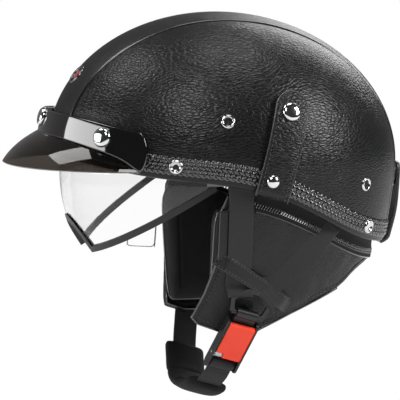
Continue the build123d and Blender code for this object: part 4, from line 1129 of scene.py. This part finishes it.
def flap_place(side):
    """A function that lays the ear flap on the cover's form, with a softly puffed middle."""
    def place(u, v):
        y, z, inset = flap_spot(u, v, side)
        puff = 1.6 * mm * (1 - math.exp(-max(inset, 0.0) / (5 * mm))) - 1.4 * mm
        point = cover_side(y, z, puff - groove(inset, 0.9 * mm), side)
        wrinkle = creases(point, 16 * mm, 0.7 * mm) + creases(point, 7 * mm, 0.25 * mm)
        return point + Vector((side * wrinkle, 0, 0))

    return place


def flap_border(inset, grow, side, count=150):
    """Places along the flap's free border, a distance inside it."""
    row = []
    flap_front = flap_fronts[side]
    for i in range(count + 1):
        t = i / count
        if t < 0.52:
            z = between(-0.024, FLAP_FOOT + inset, t / 0.52)
            y = flap_front(z) + inset
        else:
            y = between(flap_front(FLAP_FOOT) + inset, SPLIT_Y + 50 * mm, (t - 0.52) / 0.48)
            z = hem_z(y) + inset
        row.append(cover_side(y, z, grow, side))
    return row


def cover_normal(point):
    """The cover's outward direction, taken as level."""
    share = Vector((point.x / cover_width(point.z) ** 2, point.y / cover_rear(point.z) ** 2, 0))
    return share.normalized()


for side, word in SIDES:
    sheet = face_out(grid_mesh(80, 90, flap_place(side), (0.07, 0.1)))
    flap_obj = finish_piece("ear_flap_leather_" + word, sheet, "flap leather", stands_for=["ear_flap_" + word])
    thicken(flap_obj, 4.6 * mm, 1.5 * mm, 3)
    thread = bmesh.new()
    add_stitches(thread, resampled(flap_border(STITCH_INSET, -0.7 * mm, side), 3.6 * mm), cover_normal)
    finish_piece("ear_flap_stitches_" + word, thread, "thread")
    cord = tube_mesh(flap_border(0.2 * mm, -1.6 * mm, side), 1.1 * mm, 8)
    finish_piece("ear_flap_piping_" + word, cord, "piping leather")
print("ear flaps made")

# %% Neck curtain
def curtain_place(u, v):
    """The curtain from the left split, round the back, to the right one."""
    z = -0.09
    for _ in range(14):
        start = turn_of(SPLIT_Y, z)
        turn = between(start, 2 * math.pi - start, u)
        y = cover_round(turn, z).y
        low = min(hem_z(y), zip_z(y) - 15 * mm)
        z = between(zip_z(y) - ZIP_TO_LEATHER, low, v)
    inset = z - low
    puff = 1.5 * mm * (1 - math.exp(-inset / (5 * mm))) - 1.3 * mm
    point = cover_round(turn, z, puff - groove(inset, 0.8 * mm))
    wrinkle = creases(point, 20 * mm, 1.0 * mm) + creases(point, 9 * mm, 0.4 * mm)
    return point + outward(turn) * wrinkle


sheet = face_out(grid_mesh(190, 44, curtain_place, (0.3, 0.06)))
curtain_obj = finish_piece("neck_curtain_leather", sheet, "flap leather", stands_for=["neck_curtain"])
thicken(curtain_obj, 4.6 * mm, 1.5 * mm, 3)
print("curtain made")

# %% [markdown]
# ## Zipper
# Two fabric tapes carry rows of small teeth. The upper tape is sewn inside the helmet's edge, so its top
# bends outwards and disappears behind the rolled leather. Each tooth is a small block set at its place.

# %% Zipper tapes and teeth
def zip_round(u, drop, grow=0.0):
    """A place on the cover along the zipper's line, a distance below it, from left to right."""
    z = -0.05
    for _ in range(14):
        start = turn_of(ZIP_FRONT, z)
        turn = between(start, 2 * math.pi - start, u)
        z = zip_z(cover_round(turn, z).y) - drop
    return cover_round(turn, z, grow), turn


def upper_tape_place(u, v):
    """The upper tape, from behind the edge down to the teeth."""
    low, turn = zip_round(u, 6.4 * mm, 0.4 * mm)
    top = on_dome(Vector((low.x * 1.02, low.y * 1.02, edge_z(low.y) + 2 * mm)), -6.6 * mm)
    point = between(low, top, v)
    bow = math.sin(math.pi * v) * 1.2 * mm
    return point - outward(turn) * bow


def lower_tape_place(u, v):
    """The lower tape, from the teeth down to the leather."""
    return zip_round(u, between(13.2, 9.4, v) * mm, 0.3 * mm)[0]


for name, place in (("upper", upper_tape_place), ("lower", lower_tape_place)):
    sheet = face_out(grid_mesh(200, 10, place, (0.42, 0.006)))
    tape_obj = finish_piece(f"zip_{name}_tape", sheet, "zip tape", stands_for=["zip_tape_" + name])
    thicken(tape_obj, 0.9 * mm)
TEETH = 178
tooth = bmesh.new()
bmesh.ops.create_cube(tooth, size=1)
bmesh.ops.bevel(tooth, geom=list(tooth.edges), offset=0.2, segments=1, affect="EDGES")
teeth = bmesh.new()
for i in range(TEETH):
    for row, drop in ((0, 6.9), (1, 8.9)):
        here, turn = zip_round((i + 0.5 * row) / TEETH, drop * mm, 0.9 * mm)
        ahead = zip_round((i + 0.5 * row + 0.3) / TEETH, drop * mm, 0.9 * mm)[0]
        run = (ahead - here).normalized()
        down = run.cross(outward(turn)).normalized()
        stand = Matrix.Translation(here) @ Matrix((run, down, run.cross(down))).transposed().to_4x4()
        join_at(teeth, tooth, stand @ Matrix.Diagonal((1.15 * mm, 2.6 * mm, 1.3 * mm, 1)))
tooth.free()
finish_piece("zip_teeth_rows", teeth, "zip metal", stands_for=["zip_teeth"])
piping_line = [zip_round(i / 220, 12.9 * mm, 0.3 * mm)[0] for i in range(221)]
finish_piece("zip_piping", tube_mesh(piping_line, 0.95 * mm, 8), "piping leather")
print("teeth:", 2 * TEETH)

# %% [markdown]
# ## Webbing and keepers
# A strap is a ribbon: a line of places and a width across it. The line runs down inside the shell, comes
# out under the edge, and ends in a loop round a bar of the ring.

# %% Ribbons
STRAP_WIDE, LOOP_RADIUS, LINE_STEP = 19.5 * mm, 2.6 * mm, 1.5 * mm


def rounded_line(points, radius, step=LINE_STEP):
    """Straight runs joined by soft corners, as even places."""
    out = [points[0]]
    for before, corner, after in zip(points, points[1:], points[2:]):
        back = min(radius, 0.48 * (before - corner).length)
        fore = min(radius, 0.48 * (after - corner).length)
        start = corner + (before - corner).normalized() * back
        end = corner + (after - corner).normalized() * fore
        for k in range(9):
            t = k / 8
            out.append(start * (1 - t) ** 2 + corner * (2 * t * (1 - t)) + end * t * t)
    out.append(points[-1])
    row = resampled(out, step)
    return row if (row[-1] - out[-1]).length < step / 3 else row + [out[-1]]


def ribbon_mesh(path, sides, width, out, columns=10):
    """A flat ribbon along a path, spread across by one direction per place, its first face looking out."""
    count = len(path) - 1

    def place(u, v):
        i = round(u * count)
        return path[i] + sides[i] * ((v - 0.5) * width)

    bm = grid_mesh(count, columns, place, (line_length(path), width))
    bm.normal_update()
    bm.faces.ensure_lookup_table()
    if bm.faces[0].normal.dot(out) < 0:
        bmesh.ops.reverse_faces(bm, faces=bm.faces)
    return bm


def strap_path(line, side, bar):
    """A strap's middle line and its across directions, ending in a loop round a ring's bar."""
    flat = rounded_line([Vector((0, y * mm, z * mm)) for y, z in line], 12 * mm)
    path, sides = [], []
    for i, spot in enumerate(flat):
        ahead, behind = flat[min(i + 1, len(flat) - 1)], flat[max(i - 1, 0)]
        run = (ahead - behind).normalized()
        inside = eased((spot.z - edge_z(spot.y) + 8 * mm) / (8 * mm))
        low = cover_side(spot.y, spot.z, 2.6 * mm)
        high = dome_side(spot.y, spot.z, 1, -6.3 * mm)[0] if inside > 0 else low
        path.append(between(low, high, inside))
        sides.append(Vector((0, -run.z, run.y)))
    centre = Vector(bar) * mm
    start, last = path[-1], sides[-1]
    for k in range(1, 5):
        share = k / 4
        path.append(between(start, centre + Vector((LOOP_RADIUS, 0, 0)), eased(share)))
        sides.append(last)
    for k in range(1, 9):
        turn = math.pi * k / 8
        path.append(centre + Vector((LOOP_RADIUS * math.cos(turn), 0, -LOOP_RADIUS * math.sin(turn))))
        sides.append(last)
    for k in range(1, 5):
        path.append(centre + Vector((-LOOP_RADIUS, 0, 1.6 * mm * k)))
        sides.append(last)
    return mirrored(path, side), mirrored(sides, side)


FRONT_LINE = [(-22, 44), (-7.5, -20), (-7.5, -62), (-7.0, -96)]
REAR_LINE = [(107, -10), (66, -51), (44, -76), (19, -96)]
BARS = {"front": (88.85, -5.1, -103.2), "rear": (87.65, 14.97, -109.2)}
for side, word in SIDES:
    for kind, line in (("front", FRONT_LINE), ("rear", REAR_LINE)):
        path, sides = strap_path(line, side, BARS[kind])
        ribbon = ribbon_mesh(path, sides, STRAP_WIDE, Vector((side, 0, 0)))
        strap_node = [f"{kind}_strap_{word}"]
        strap_obj = finish_piece(f"{kind}_webbing_{word}", ribbon, "webbing", stands_for=strap_node)
        thicken(strap_obj, 1.8 * mm, 0.4 * mm, 2)
print("straps made")

# %% Keepers
KEEPER_LINE = [(-25, -73.5), (6, -93.5), (37, -116)]


def keeper_path(side):
    """The keeper band's middle line: over both straps, and down to the flap at its ends."""
    flat = rounded_line([Vector((0, y * mm, z * mm)) for y, z in KEEPER_LINE], 24 * mm)
    path, sides = [], []
    length = len(flat) - 1
    for i, spot in enumerate(flat):
        run = (flat[min(i + 1, length)] - flat[max(i - 1, 0)]).normalized()
        near = min(i, length - i) * LINE_STEP
        grow = between(1.4 * mm, 5.2 * mm, eased(near / (9 * mm)))
        path.append(cover_side(spot.y, spot.z, grow))
        sides.append(Vector((0, -run.z, run.y)))
    return mirrored(path, side), mirrored(sides, side)


for side, word in SIDES:
    path, sides = keeper_path(side)
    out = Vector((side, 0, 0))
    band = ribbon_mesh(path, sides, 12 * mm, out, 8)
    loop_line = [cover_side(-20.8 * mm, z * mm, 2.2 * mm, side) for z in range(-36, -77, -2)]
    loop = ribbon_mesh(loop_line, [Vector((0, 1, 0))] * len(loop_line), 7 * mm, out, 6)
    keeper = joined(band, loop)
    keeper_obj = finish_piece("keeper_leather_" + word, keeper, "strip leather", stands_for=["strap_keeper_" + word])
    # The keeper's rim takes the edge paint, whose light grey is partly painted highlight along its borders.
    thicken(keeper_obj, 1.8 * mm, 0.6 * mm, 3, "edge paint")
    thread = bmesh.new()
    for shift in (-4.3 * mm, 4.3 * mm):
        line = [point + across_now * shift for point, across_now in zip(path, sides)]
        add_stitches(thread, resampled(line, 3.2 * mm), lambda point: out)
    finish_piece("keeper_stitches_" + word, thread, "thread")
print("keepers made")

# %% [markdown]
# ## Cushions
# A pad is a closed form that is full in the middle and thin at its seam. Two sheets meet along the border:
# each bulges away from the middle plane by a share that falls to nothing at the rim. Piping covers the
# seam, and stitched lines press channels into the face.

# %% Cheek pads
PAD_LOW, PAD_HIGH, PAD_BACK = -126 * mm, -30 * mm, 11 * mm
PAD_FRONTS = {1: -24 * mm, -1: -32 * mm}


def pad_outline(u, v, side):
    """A place of the side view inside the cheek pad's outline, with its front corner cut off."""
    y = between(PAD_FRONTS[side], PAD_BACK, u)
    roof = between(-40 * mm, PAD_HIGH, min(1.0, (y - PAD_FRONTS[side]) / (16 * mm)))
    z = between(PAD_LOW, roof, v)
    su, sv = 2 * u - 1, 2 * v - 1
    pull = 2.1 * mm * (abs(su) * abs(sv)) ** 8
    return y - math.copysign(pull, su), z - math.copysign(pull, sv)


def pad_swell(u, v):
    """How full the pad is: 0 at the seam, 1 over most of its face."""
    su, sv = abs(2 * u - 1), abs(2 * v - 1)
    return ((1 - su ** 7) * (1 - sv ** 9)) ** 0.42 if su < 1 and sv < 1 else 0.0


def pad_face_place(side, outer):
    """One face of the cheek pad: the outer one follows the flap, the inner one crowns to the cheek."""
    def place(u, v):
        y, z = pad_outline(u, v, side)
        wall = cover_side(y, z, -6.8 * mm).x
        cheek = between(46 * mm, 58 * mm, (z - PAD_LOW) / (PAD_HIGH - PAD_LOW))
        seam_at = between(cheek, wall, 0.72)
        swell = pad_swell(u, v)
        channel = 1.3 * mm * math.exp(-((min(u, 1 - u) - 0.2) / 0.02) ** 2) if 0.12 < v < 0.9 else 0.0
        face, inwards = (wall, -1) if outer else (cheek, 1)
        x = between(seam_at, face, swell) + inwards * channel * swell
        return Vector((side * x, y, z))

    return place


for side, word in SIDES:
    outer_face, inner_face = [grid_mesh(46, 80, pad_face_place(side, outer)) for outer in (True, False)]
    pad = joined(outer_face, inner_face)
    bmesh.ops.remove_doubles(pad, verts=pad.verts, dist=0.00001)
    pad_obj = finish_piece("cheek_cushion_" + word, close_up(pad), "pad cloth", stands_for=["cheek_pad_" + word])
    rim = []
    on_face = pad_face_place(side, True)
    for corner, ahead in (((0, 0), (1, 0)), ((1, 0), (0, 1)), ((1, 1), (-1, 0)), ((0, 1), (0, -1))):
        for k in range(30):
            rim.append(on_face(corner[0] + ahead[0] * k / 30, corner[1] + ahead[1] * k / 30))
    cord = tube_mesh(rim, 1.0 * mm, 8, closed=True)
    finish_piece("cheek_cushion_piping_" + word, cord, "piping leather")
print("cheek cushions made")

# %% Comfort lining
def lining_place(u, v):
    """The padded lining, quilted in a diamond pattern."""
    angle = 2 * math.pi * u
    start = rim_point(math.degrees(angle), 6 * mm)
    swing = math.sin(v * math.pi / 2)
    z = between(start.z, 0.2 * HEIGHT + HEIGHT, swing)
    point = on_dome(Vector((start.x * (1 - swing), start.y * (1 - swing), z)))
    rows, columns = v * 7, u * 24
    quilt = abs(math.sin(math.pi * (rows + columns))) * abs(math.sin(math.pi * (rows - columns)))
    rim_dip = math.exp(-v * 60)
    return on_dome(point, -38 * mm + 3.0 * mm * (1 - quilt ** 0.5) + 3.5 * mm * rim_dip)


lining = bmesh.new()
bmesh.ops.create_grid(lining, x_segments=192, y_segments=56, size=0.5)
for vert in lining.verts:
    u, v = vert.co.x + 0.5, vert.co.y + 0.5
    vert.co = lining_place(u % 1.0, min(v, 0.9995))
bmesh.ops.remove_doubles(lining, verts=lining.verts, dist=0.0002)
lining_obj = finish_piece("comfort_lining", face_out(lining), "lining cloth", stands_for=["comfort_liner"])
back_wall = lining_obj.modifiers.new("Wall", "SOLIDIFY")
back_wall.thickness, back_wall.offset = 5.5 * mm, 1
print("lining made")

# %% [markdown]
# ## Chin strap
# The lower webbing lies in one leaning plane. It leaves the buckle, passes through the chin pad and ends
# in a sewn eye on the far ring.

# %% Strap plane
across = Vector((math.cos(math.radians(3.4)), math.sin(math.radians(3.4)), 0))
strap_front = Vector((0.056813, -0.956275, 0.286896))
rise = strap_front.cross(across).normalized()
plane_at = Vector((0, -2.2 * mm, -112.5 * mm))
LEG, BAR_REACH, BAR_DROP, CHIN_DROP = math.radians(57.3), 86 * mm, 7.7 * mm, 79 * mm


def in_strap(x, s):
    """A place in the strap's plane."""
    return plane_at + across * x + rise * s


left_bar, right_bar = in_strap(BAR_REACH, -BAR_DROP), in_strap(-BAR_REACH, -BAR_DROP)
down_leg = across * -math.cos(LEG) - rise * math.sin(LEG)
out_leg = strap_front.cross(down_leg).normalized()
corners = [left_bar + down_leg * 55 * mm, left_bar + down_leg * 67 * mm]
corners += [in_strap(x * BAR_REACH, s * CHIN_DROP) for x, s in ((0.28, -1.0), (-0.19, -1.0), (-0.58, -0.70))]
corners.append(right_bar + (corners[-1] - right_bar).normalized() * 3.4 * mm)
chin_line = rounded_line(corners, 17 * mm)
eye_run = (right_bar - chin_line[-1]).normalized()
eye_side = strap_front.cross(eye_run).normalized()
eye_turns = [2 * math.pi * k / 20 for k in range(1, 20)]
eye = [right_bar - (eye_run * math.cos(a) - eye_side * math.sin(a)) * 3.3 * mm for a in eye_turns]
webbing_line = chin_line + eye
ribbon = ribbon_mesh(webbing_line, [strap_front] * len(webbing_line), STRAP_WIDE, out_leg)
webbing_obj = finish_piece("chin_webbing_ribbon", ribbon, "webbing", "chin_strap_body", ["chin_webbing"])
thicken(webbing_obj, 2.0 * mm, 0.4 * mm, 2)
webbing_obj.modifiers["Wall"].offset = 0
roll_line = []
for k in range(46):
    turn, radius = 2 * math.pi * 1.7 * k / 45, between(2.7, 4.2, k / 45) * mm
    roll_middle = left_bar + down_leg * 52 * mm
    roll_line.append(roll_middle + down_leg * (radius * math.cos(turn)) + out_leg * (radius * math.sin(turn)))
ribbon = ribbon_mesh(roll_line, [strap_front] * len(roll_line), STRAP_WIDE, down_leg)
roll_obj = finish_piece("buckle_webbing_roll", ribbon, "webbing", "chin_strap_body", ["webbing_roll"])
thicken(roll_obj, 1.2 * mm)
roll_obj.modifiers["Wall"].offset = 0
print("chin webbing", round(line_length(webbing_line), 3))

# %% Chin pad
pad_from, pad_to = int(0.14 * len(chin_line)), int(0.70 * len(chin_line))
pad_line = chin_line[pad_from:pad_to]
PAD_WIDE, PAD_THICK = 33 * mm, 9 * mm


def chin_pad_place(u, v):
    """A closed sleeve round the webbing: a flat soft section, thinner at both ends, with pressed seams."""
    far = u * (len(pad_line) - 1)
    i = min(int(far), len(pad_line) - 2)
    point = between(pad_line[i], pad_line[i + 1], far - i)
    run = (pad_line[min(i + 2, len(pad_line) - 1)] - pad_line[max(i - 1, 0)]).normalized()
    out = strap_front.cross(run).normalized()
    end = min(u, 1 - u) * len(pad_line) * LINE_STEP
    full = math.sqrt(max(0.0, 1 - max(0.0, 1 - end / (5 * mm)) ** 2))
    seam = sum(math.exp(-((u - at) * 60) ** 2) for at in (0.36, 0.66))
    turn = 2 * math.pi * v
    c, s = math.cos(turn), math.sin(turn)
    wide = PAD_WIDE / 2 * math.copysign(abs(c) ** 0.62, c) * between(0.86, 1.0, full) * (1 - 0.03 * seam)
    thick = PAD_THICK / 2 * math.copysign(abs(s) ** 0.72, s) * between(0.34, 1.0, full) * (1 - 0.3 * seam)
    return point + strap_front * wide + out * (thick + creases(point + out * thick, 0.012, 0.5 * mm))


sleeve = close_up(grid_mesh(110, 40, chin_pad_place, close_v=True))
bmesh.ops.holes_fill(sleeve, edges=[edge for edge in sleeve.edges if edge.is_boundary])
pad_obj = finish_piece("chin_cushion", close_up(sleeve), "pad cloth", "chin_strap_body", ["chin_pad"])
print("chin pad made")

# %% [markdown]
# Clear plastic shows mostly at its edges, where light leaves the sheet. The grey line that this draws round the
# finger tab is painted shade: a fine cord of smoked plastic laid on the lens form.

# %% Painted shade round the finger tab's edge
LENS_CENTRE, LENS_WIDE, LENS_LONG = Vector((0, -12, -14)) * mm, 91.5 * mm, 118.5 * mm


def on_lens(y, z):
    """A place on the left half of the lens form."""
    part = ((y - LENS_CENTRE.y) / LENS_LONG) ** 2 + ((z - LENS_CENTRE.z) / LENS_LONG) ** 2
    return Vector((LENS_WIDE * math.sqrt(1 - part), y, z))


tab_corners = [(-88.6, -62.5), (-88.6, -66.6), (-69.4, -66.6), (-69.4, -50.5)]
tab_line = rounded_line([on_lens(y * mm, z * mm) for y, z in tab_corners], 4 * mm, 1 * mm)
# The smoked cord is painted shade for the clear edge's grey outline.
finish_piece("lens_tab_edge_shade", tube_mesh(tab_line, 0.4 * mm, 6), "smoked plastic", "lens_body")
print("finger tab bordered")

# %% [markdown]
# ## Camera, lamps and backdrop
# A long lens far away gives the photograph's flat view. Six soft lamps draw its broad highlights.

# %% Camera and lamps
camera = bpy.data.objects.new("camera", bpy.data.cameras.new("camera"))
bpy.context.scene.collection.objects.link(camera)
bpy.context.scene.camera = camera
TURN, RISE, FAR = math.radians(12.2), math.radians(6.3), 3.0
right = Vector((math.sin(TURN), math.cos(TURN), 0))
upward = Vector((-math.sin(RISE) * math.cos(TURN), math.sin(RISE) * math.sin(TURN), math.cos(RISE)))
back = right.cross(upward)
aim = right * (-17.6 * mm) - upward * (38.8 * mm)
stand = Matrix((right, upward, back)).transposed().to_4x4()
camera.matrix_world = Matrix.Translation(aim + back * FAR) @ stand
camera.data.sensor_width, camera.data.lens = 36, 36 * FAR / 0.32
camera.data.clip_start, camera.data.clip_end = 0.1, 50


def softbox(name, place, look, size, power):
    """A large soft lamp that looks at one point."""
    lamp = bpy.data.lights.new(name, "AREA")
    lamp.shape, lamp.size, lamp.size_y, lamp.energy = "RECTANGLE", size[0], size[1], power
    obj = bpy.data.objects.new(name, lamp)
    obj.location = place
    obj.rotation_euler = (Vector(look) - Vector(place)).to_track_quat("-Z", "Y").to_euler()
    bpy.context.scene.collection.objects.link(obj)


lamps = (
    ("front", (-0.07, -1.35, 0.16), (0, 0, 0), (0.97, 0.5), 7),
    ("over the peak", (-0.3, -0.82, 1.25), (0, -0.1, 0), (0.62, 0.5), 6),
    ("key", (1.3, -0.6, 1.3), (0, 0, 0), (0.6, 0.6), 13),
    ("rear", (0.9, 1.5, 0.9), (0, 0, 0), (0.6, 0.8), 24),
    ("top", (0.0, 0.25, 1.7), (0, 0, 0), (0.8, 0.8), 9),
    ("far side", (-1.2, 0.8, 0.8), (0, 0, 0), (0.8, 0.8), 9),
)
for name, place, look, size, power in lamps:
    softbox(name, place, look, size, power)
print("lamps:", len(lamps))

# %% [markdown]
# The world is a white backdrop. The camera and clear plastic see it at full white. Metal and gloss mirror
# it much dimmer, and dimmest towards the camera, which keeps black gloss black.

# %% White backdrop
world = bpy.data.worlds.new("studio")
bpy.context.scene.world = world
world.use_nodes = True
tree, links = world.node_tree.nodes, world.node_tree.links
rays = tree.new("ShaderNodeLightPath")
way = tree.new("ShaderNodeTexCoord")
split = tree.new("ShaderNodeSeparateXYZ")
links.new(way.outputs["Generated"], split.inputs[0])
both = (tree, links)
behind = range_node(both, split.outputs["X"], (0.15, -0.35), (0.04, 0.16))
in_mirrors = math_node(both, "MULTIPLY", rays.outputs["Is Glossy Ray"], behind)
seen = math_node(both, "MAXIMUM", rays.outputs["Is Camera Ray"], rays.outputs["Is Transmission Ray"])
light = math_node(both, "MULTIPLY", rays.outputs["Is Diffuse Ray"], 0.25)
total = math_node(both, "MAXIMUM", math_node(both, "MAXIMUM", seen, in_mirrors), light)
links.new(total, tree["Background"].inputs["Strength"])
tree["Background"].inputs["Color"].default_value = (1, 1, 1, 1)
print("backdrop:", world.name)

# %% [markdown]
# The open chin strap swings below the place where it hangs at rest. The floor lies under its lowest point,
# so it never hides the buckle.

# %% Floor
floor_mesh = bmesh.new()
STRAP_DROP = 54 * mm
floor_place = Matrix.Translation((0, 0, cad_box[0].z - STRAP_DROP))
bmesh.ops.create_grid(floor_mesh, x_segments=1, y_segments=1, size=1.5, matrix=floor_place)
floor_data = bpy.data.meshes.new("floor")
floor_mesh.to_mesh(floor_data)
floor_mesh.free()
floor = bpy.data.objects.new("floor", floor_data)
bpy.context.scene.collection.objects.link(floor)
floor_material = bpy.data.materials.new("pale floor")
floor_material.use_nodes = True
tree, links = floor_material.node_tree.nodes, floor_material.node_tree.links
floor_shader = tree["Principled BSDF"]
floor_shader.inputs["Base Color"].default_value = (0.88, 0.88, 0.88, 1)
floor_shader.inputs["Roughness"].default_value = 0.9
glow, blend_in = tree.new("ShaderNodeEmission"), tree.new("ShaderNodeMixShader")
rays, spot = tree.new("ShaderNodeLightPath"), tree.new("ShaderNodeTexCoord")
away = tree.new("ShaderNodeVectorMath")
away.operation = "LENGTH"
links.new(spot.outputs["Object"], away.inputs[0])
both = (tree, links)
fade = range_node(both, away.outputs["Value"], (0.2, 0.7), (0.8, 1.0))
looked_at = math_node(both, "MAXIMUM", rays.outputs["Is Camera Ray"], rays.outputs["Is Transmission Ray"])
links.new(math_node(both, "MULTIPLY", looked_at, fade), blend_in.inputs["Fac"])
links.new(floor_shader.outputs[0], blend_in.inputs[1])
links.new(glow.outputs[0], blend_in.inputs[2])
links.new(blend_in.outputs[0], tree["Material Output"].inputs["Surface"])
floor_data.materials.append(floor_material)
bpy.context.scene.view_settings.view_transform = "Standard"
print("floor at", round(cad_box[0].z - STRAP_DROP, 3))

# %% [markdown]
# ## Pieces that keep their CAD shape
# The rigid plastic and metal pieces that are left keep their shape and only get a finish.

# %% Finishes for the CAD nodes that stay
def keep_with(finish, *names):
    """Give CAD nodes their finish."""
    for name in names:
        data = nodes[name].data
        data.materials.clear()
        data.materials.append(bpy.data.materials[finish])


keep_with("shell plastic", "shell")
keep_with("impact foam", "foam_liner")
keep_with("clear plastic", "lens")
keep_with("edging rubber", "lens_edging")
keep_with("brushed steel", "lens_pivot_screws", "tab_studs", "lever_spring")
keep_with("dark metal", "lens_bracket_left", "lens_bracket_right")
keep_with("chrome", "buckle_pin")
keep_with("buckle black", "strap_ring_left", "strap_ring_right", "buckle_tongue", "buckle_frame")
keep_with("lever red", "buckle_lever")
keep_with("zip metal", "zip_slider", "zip_pull")
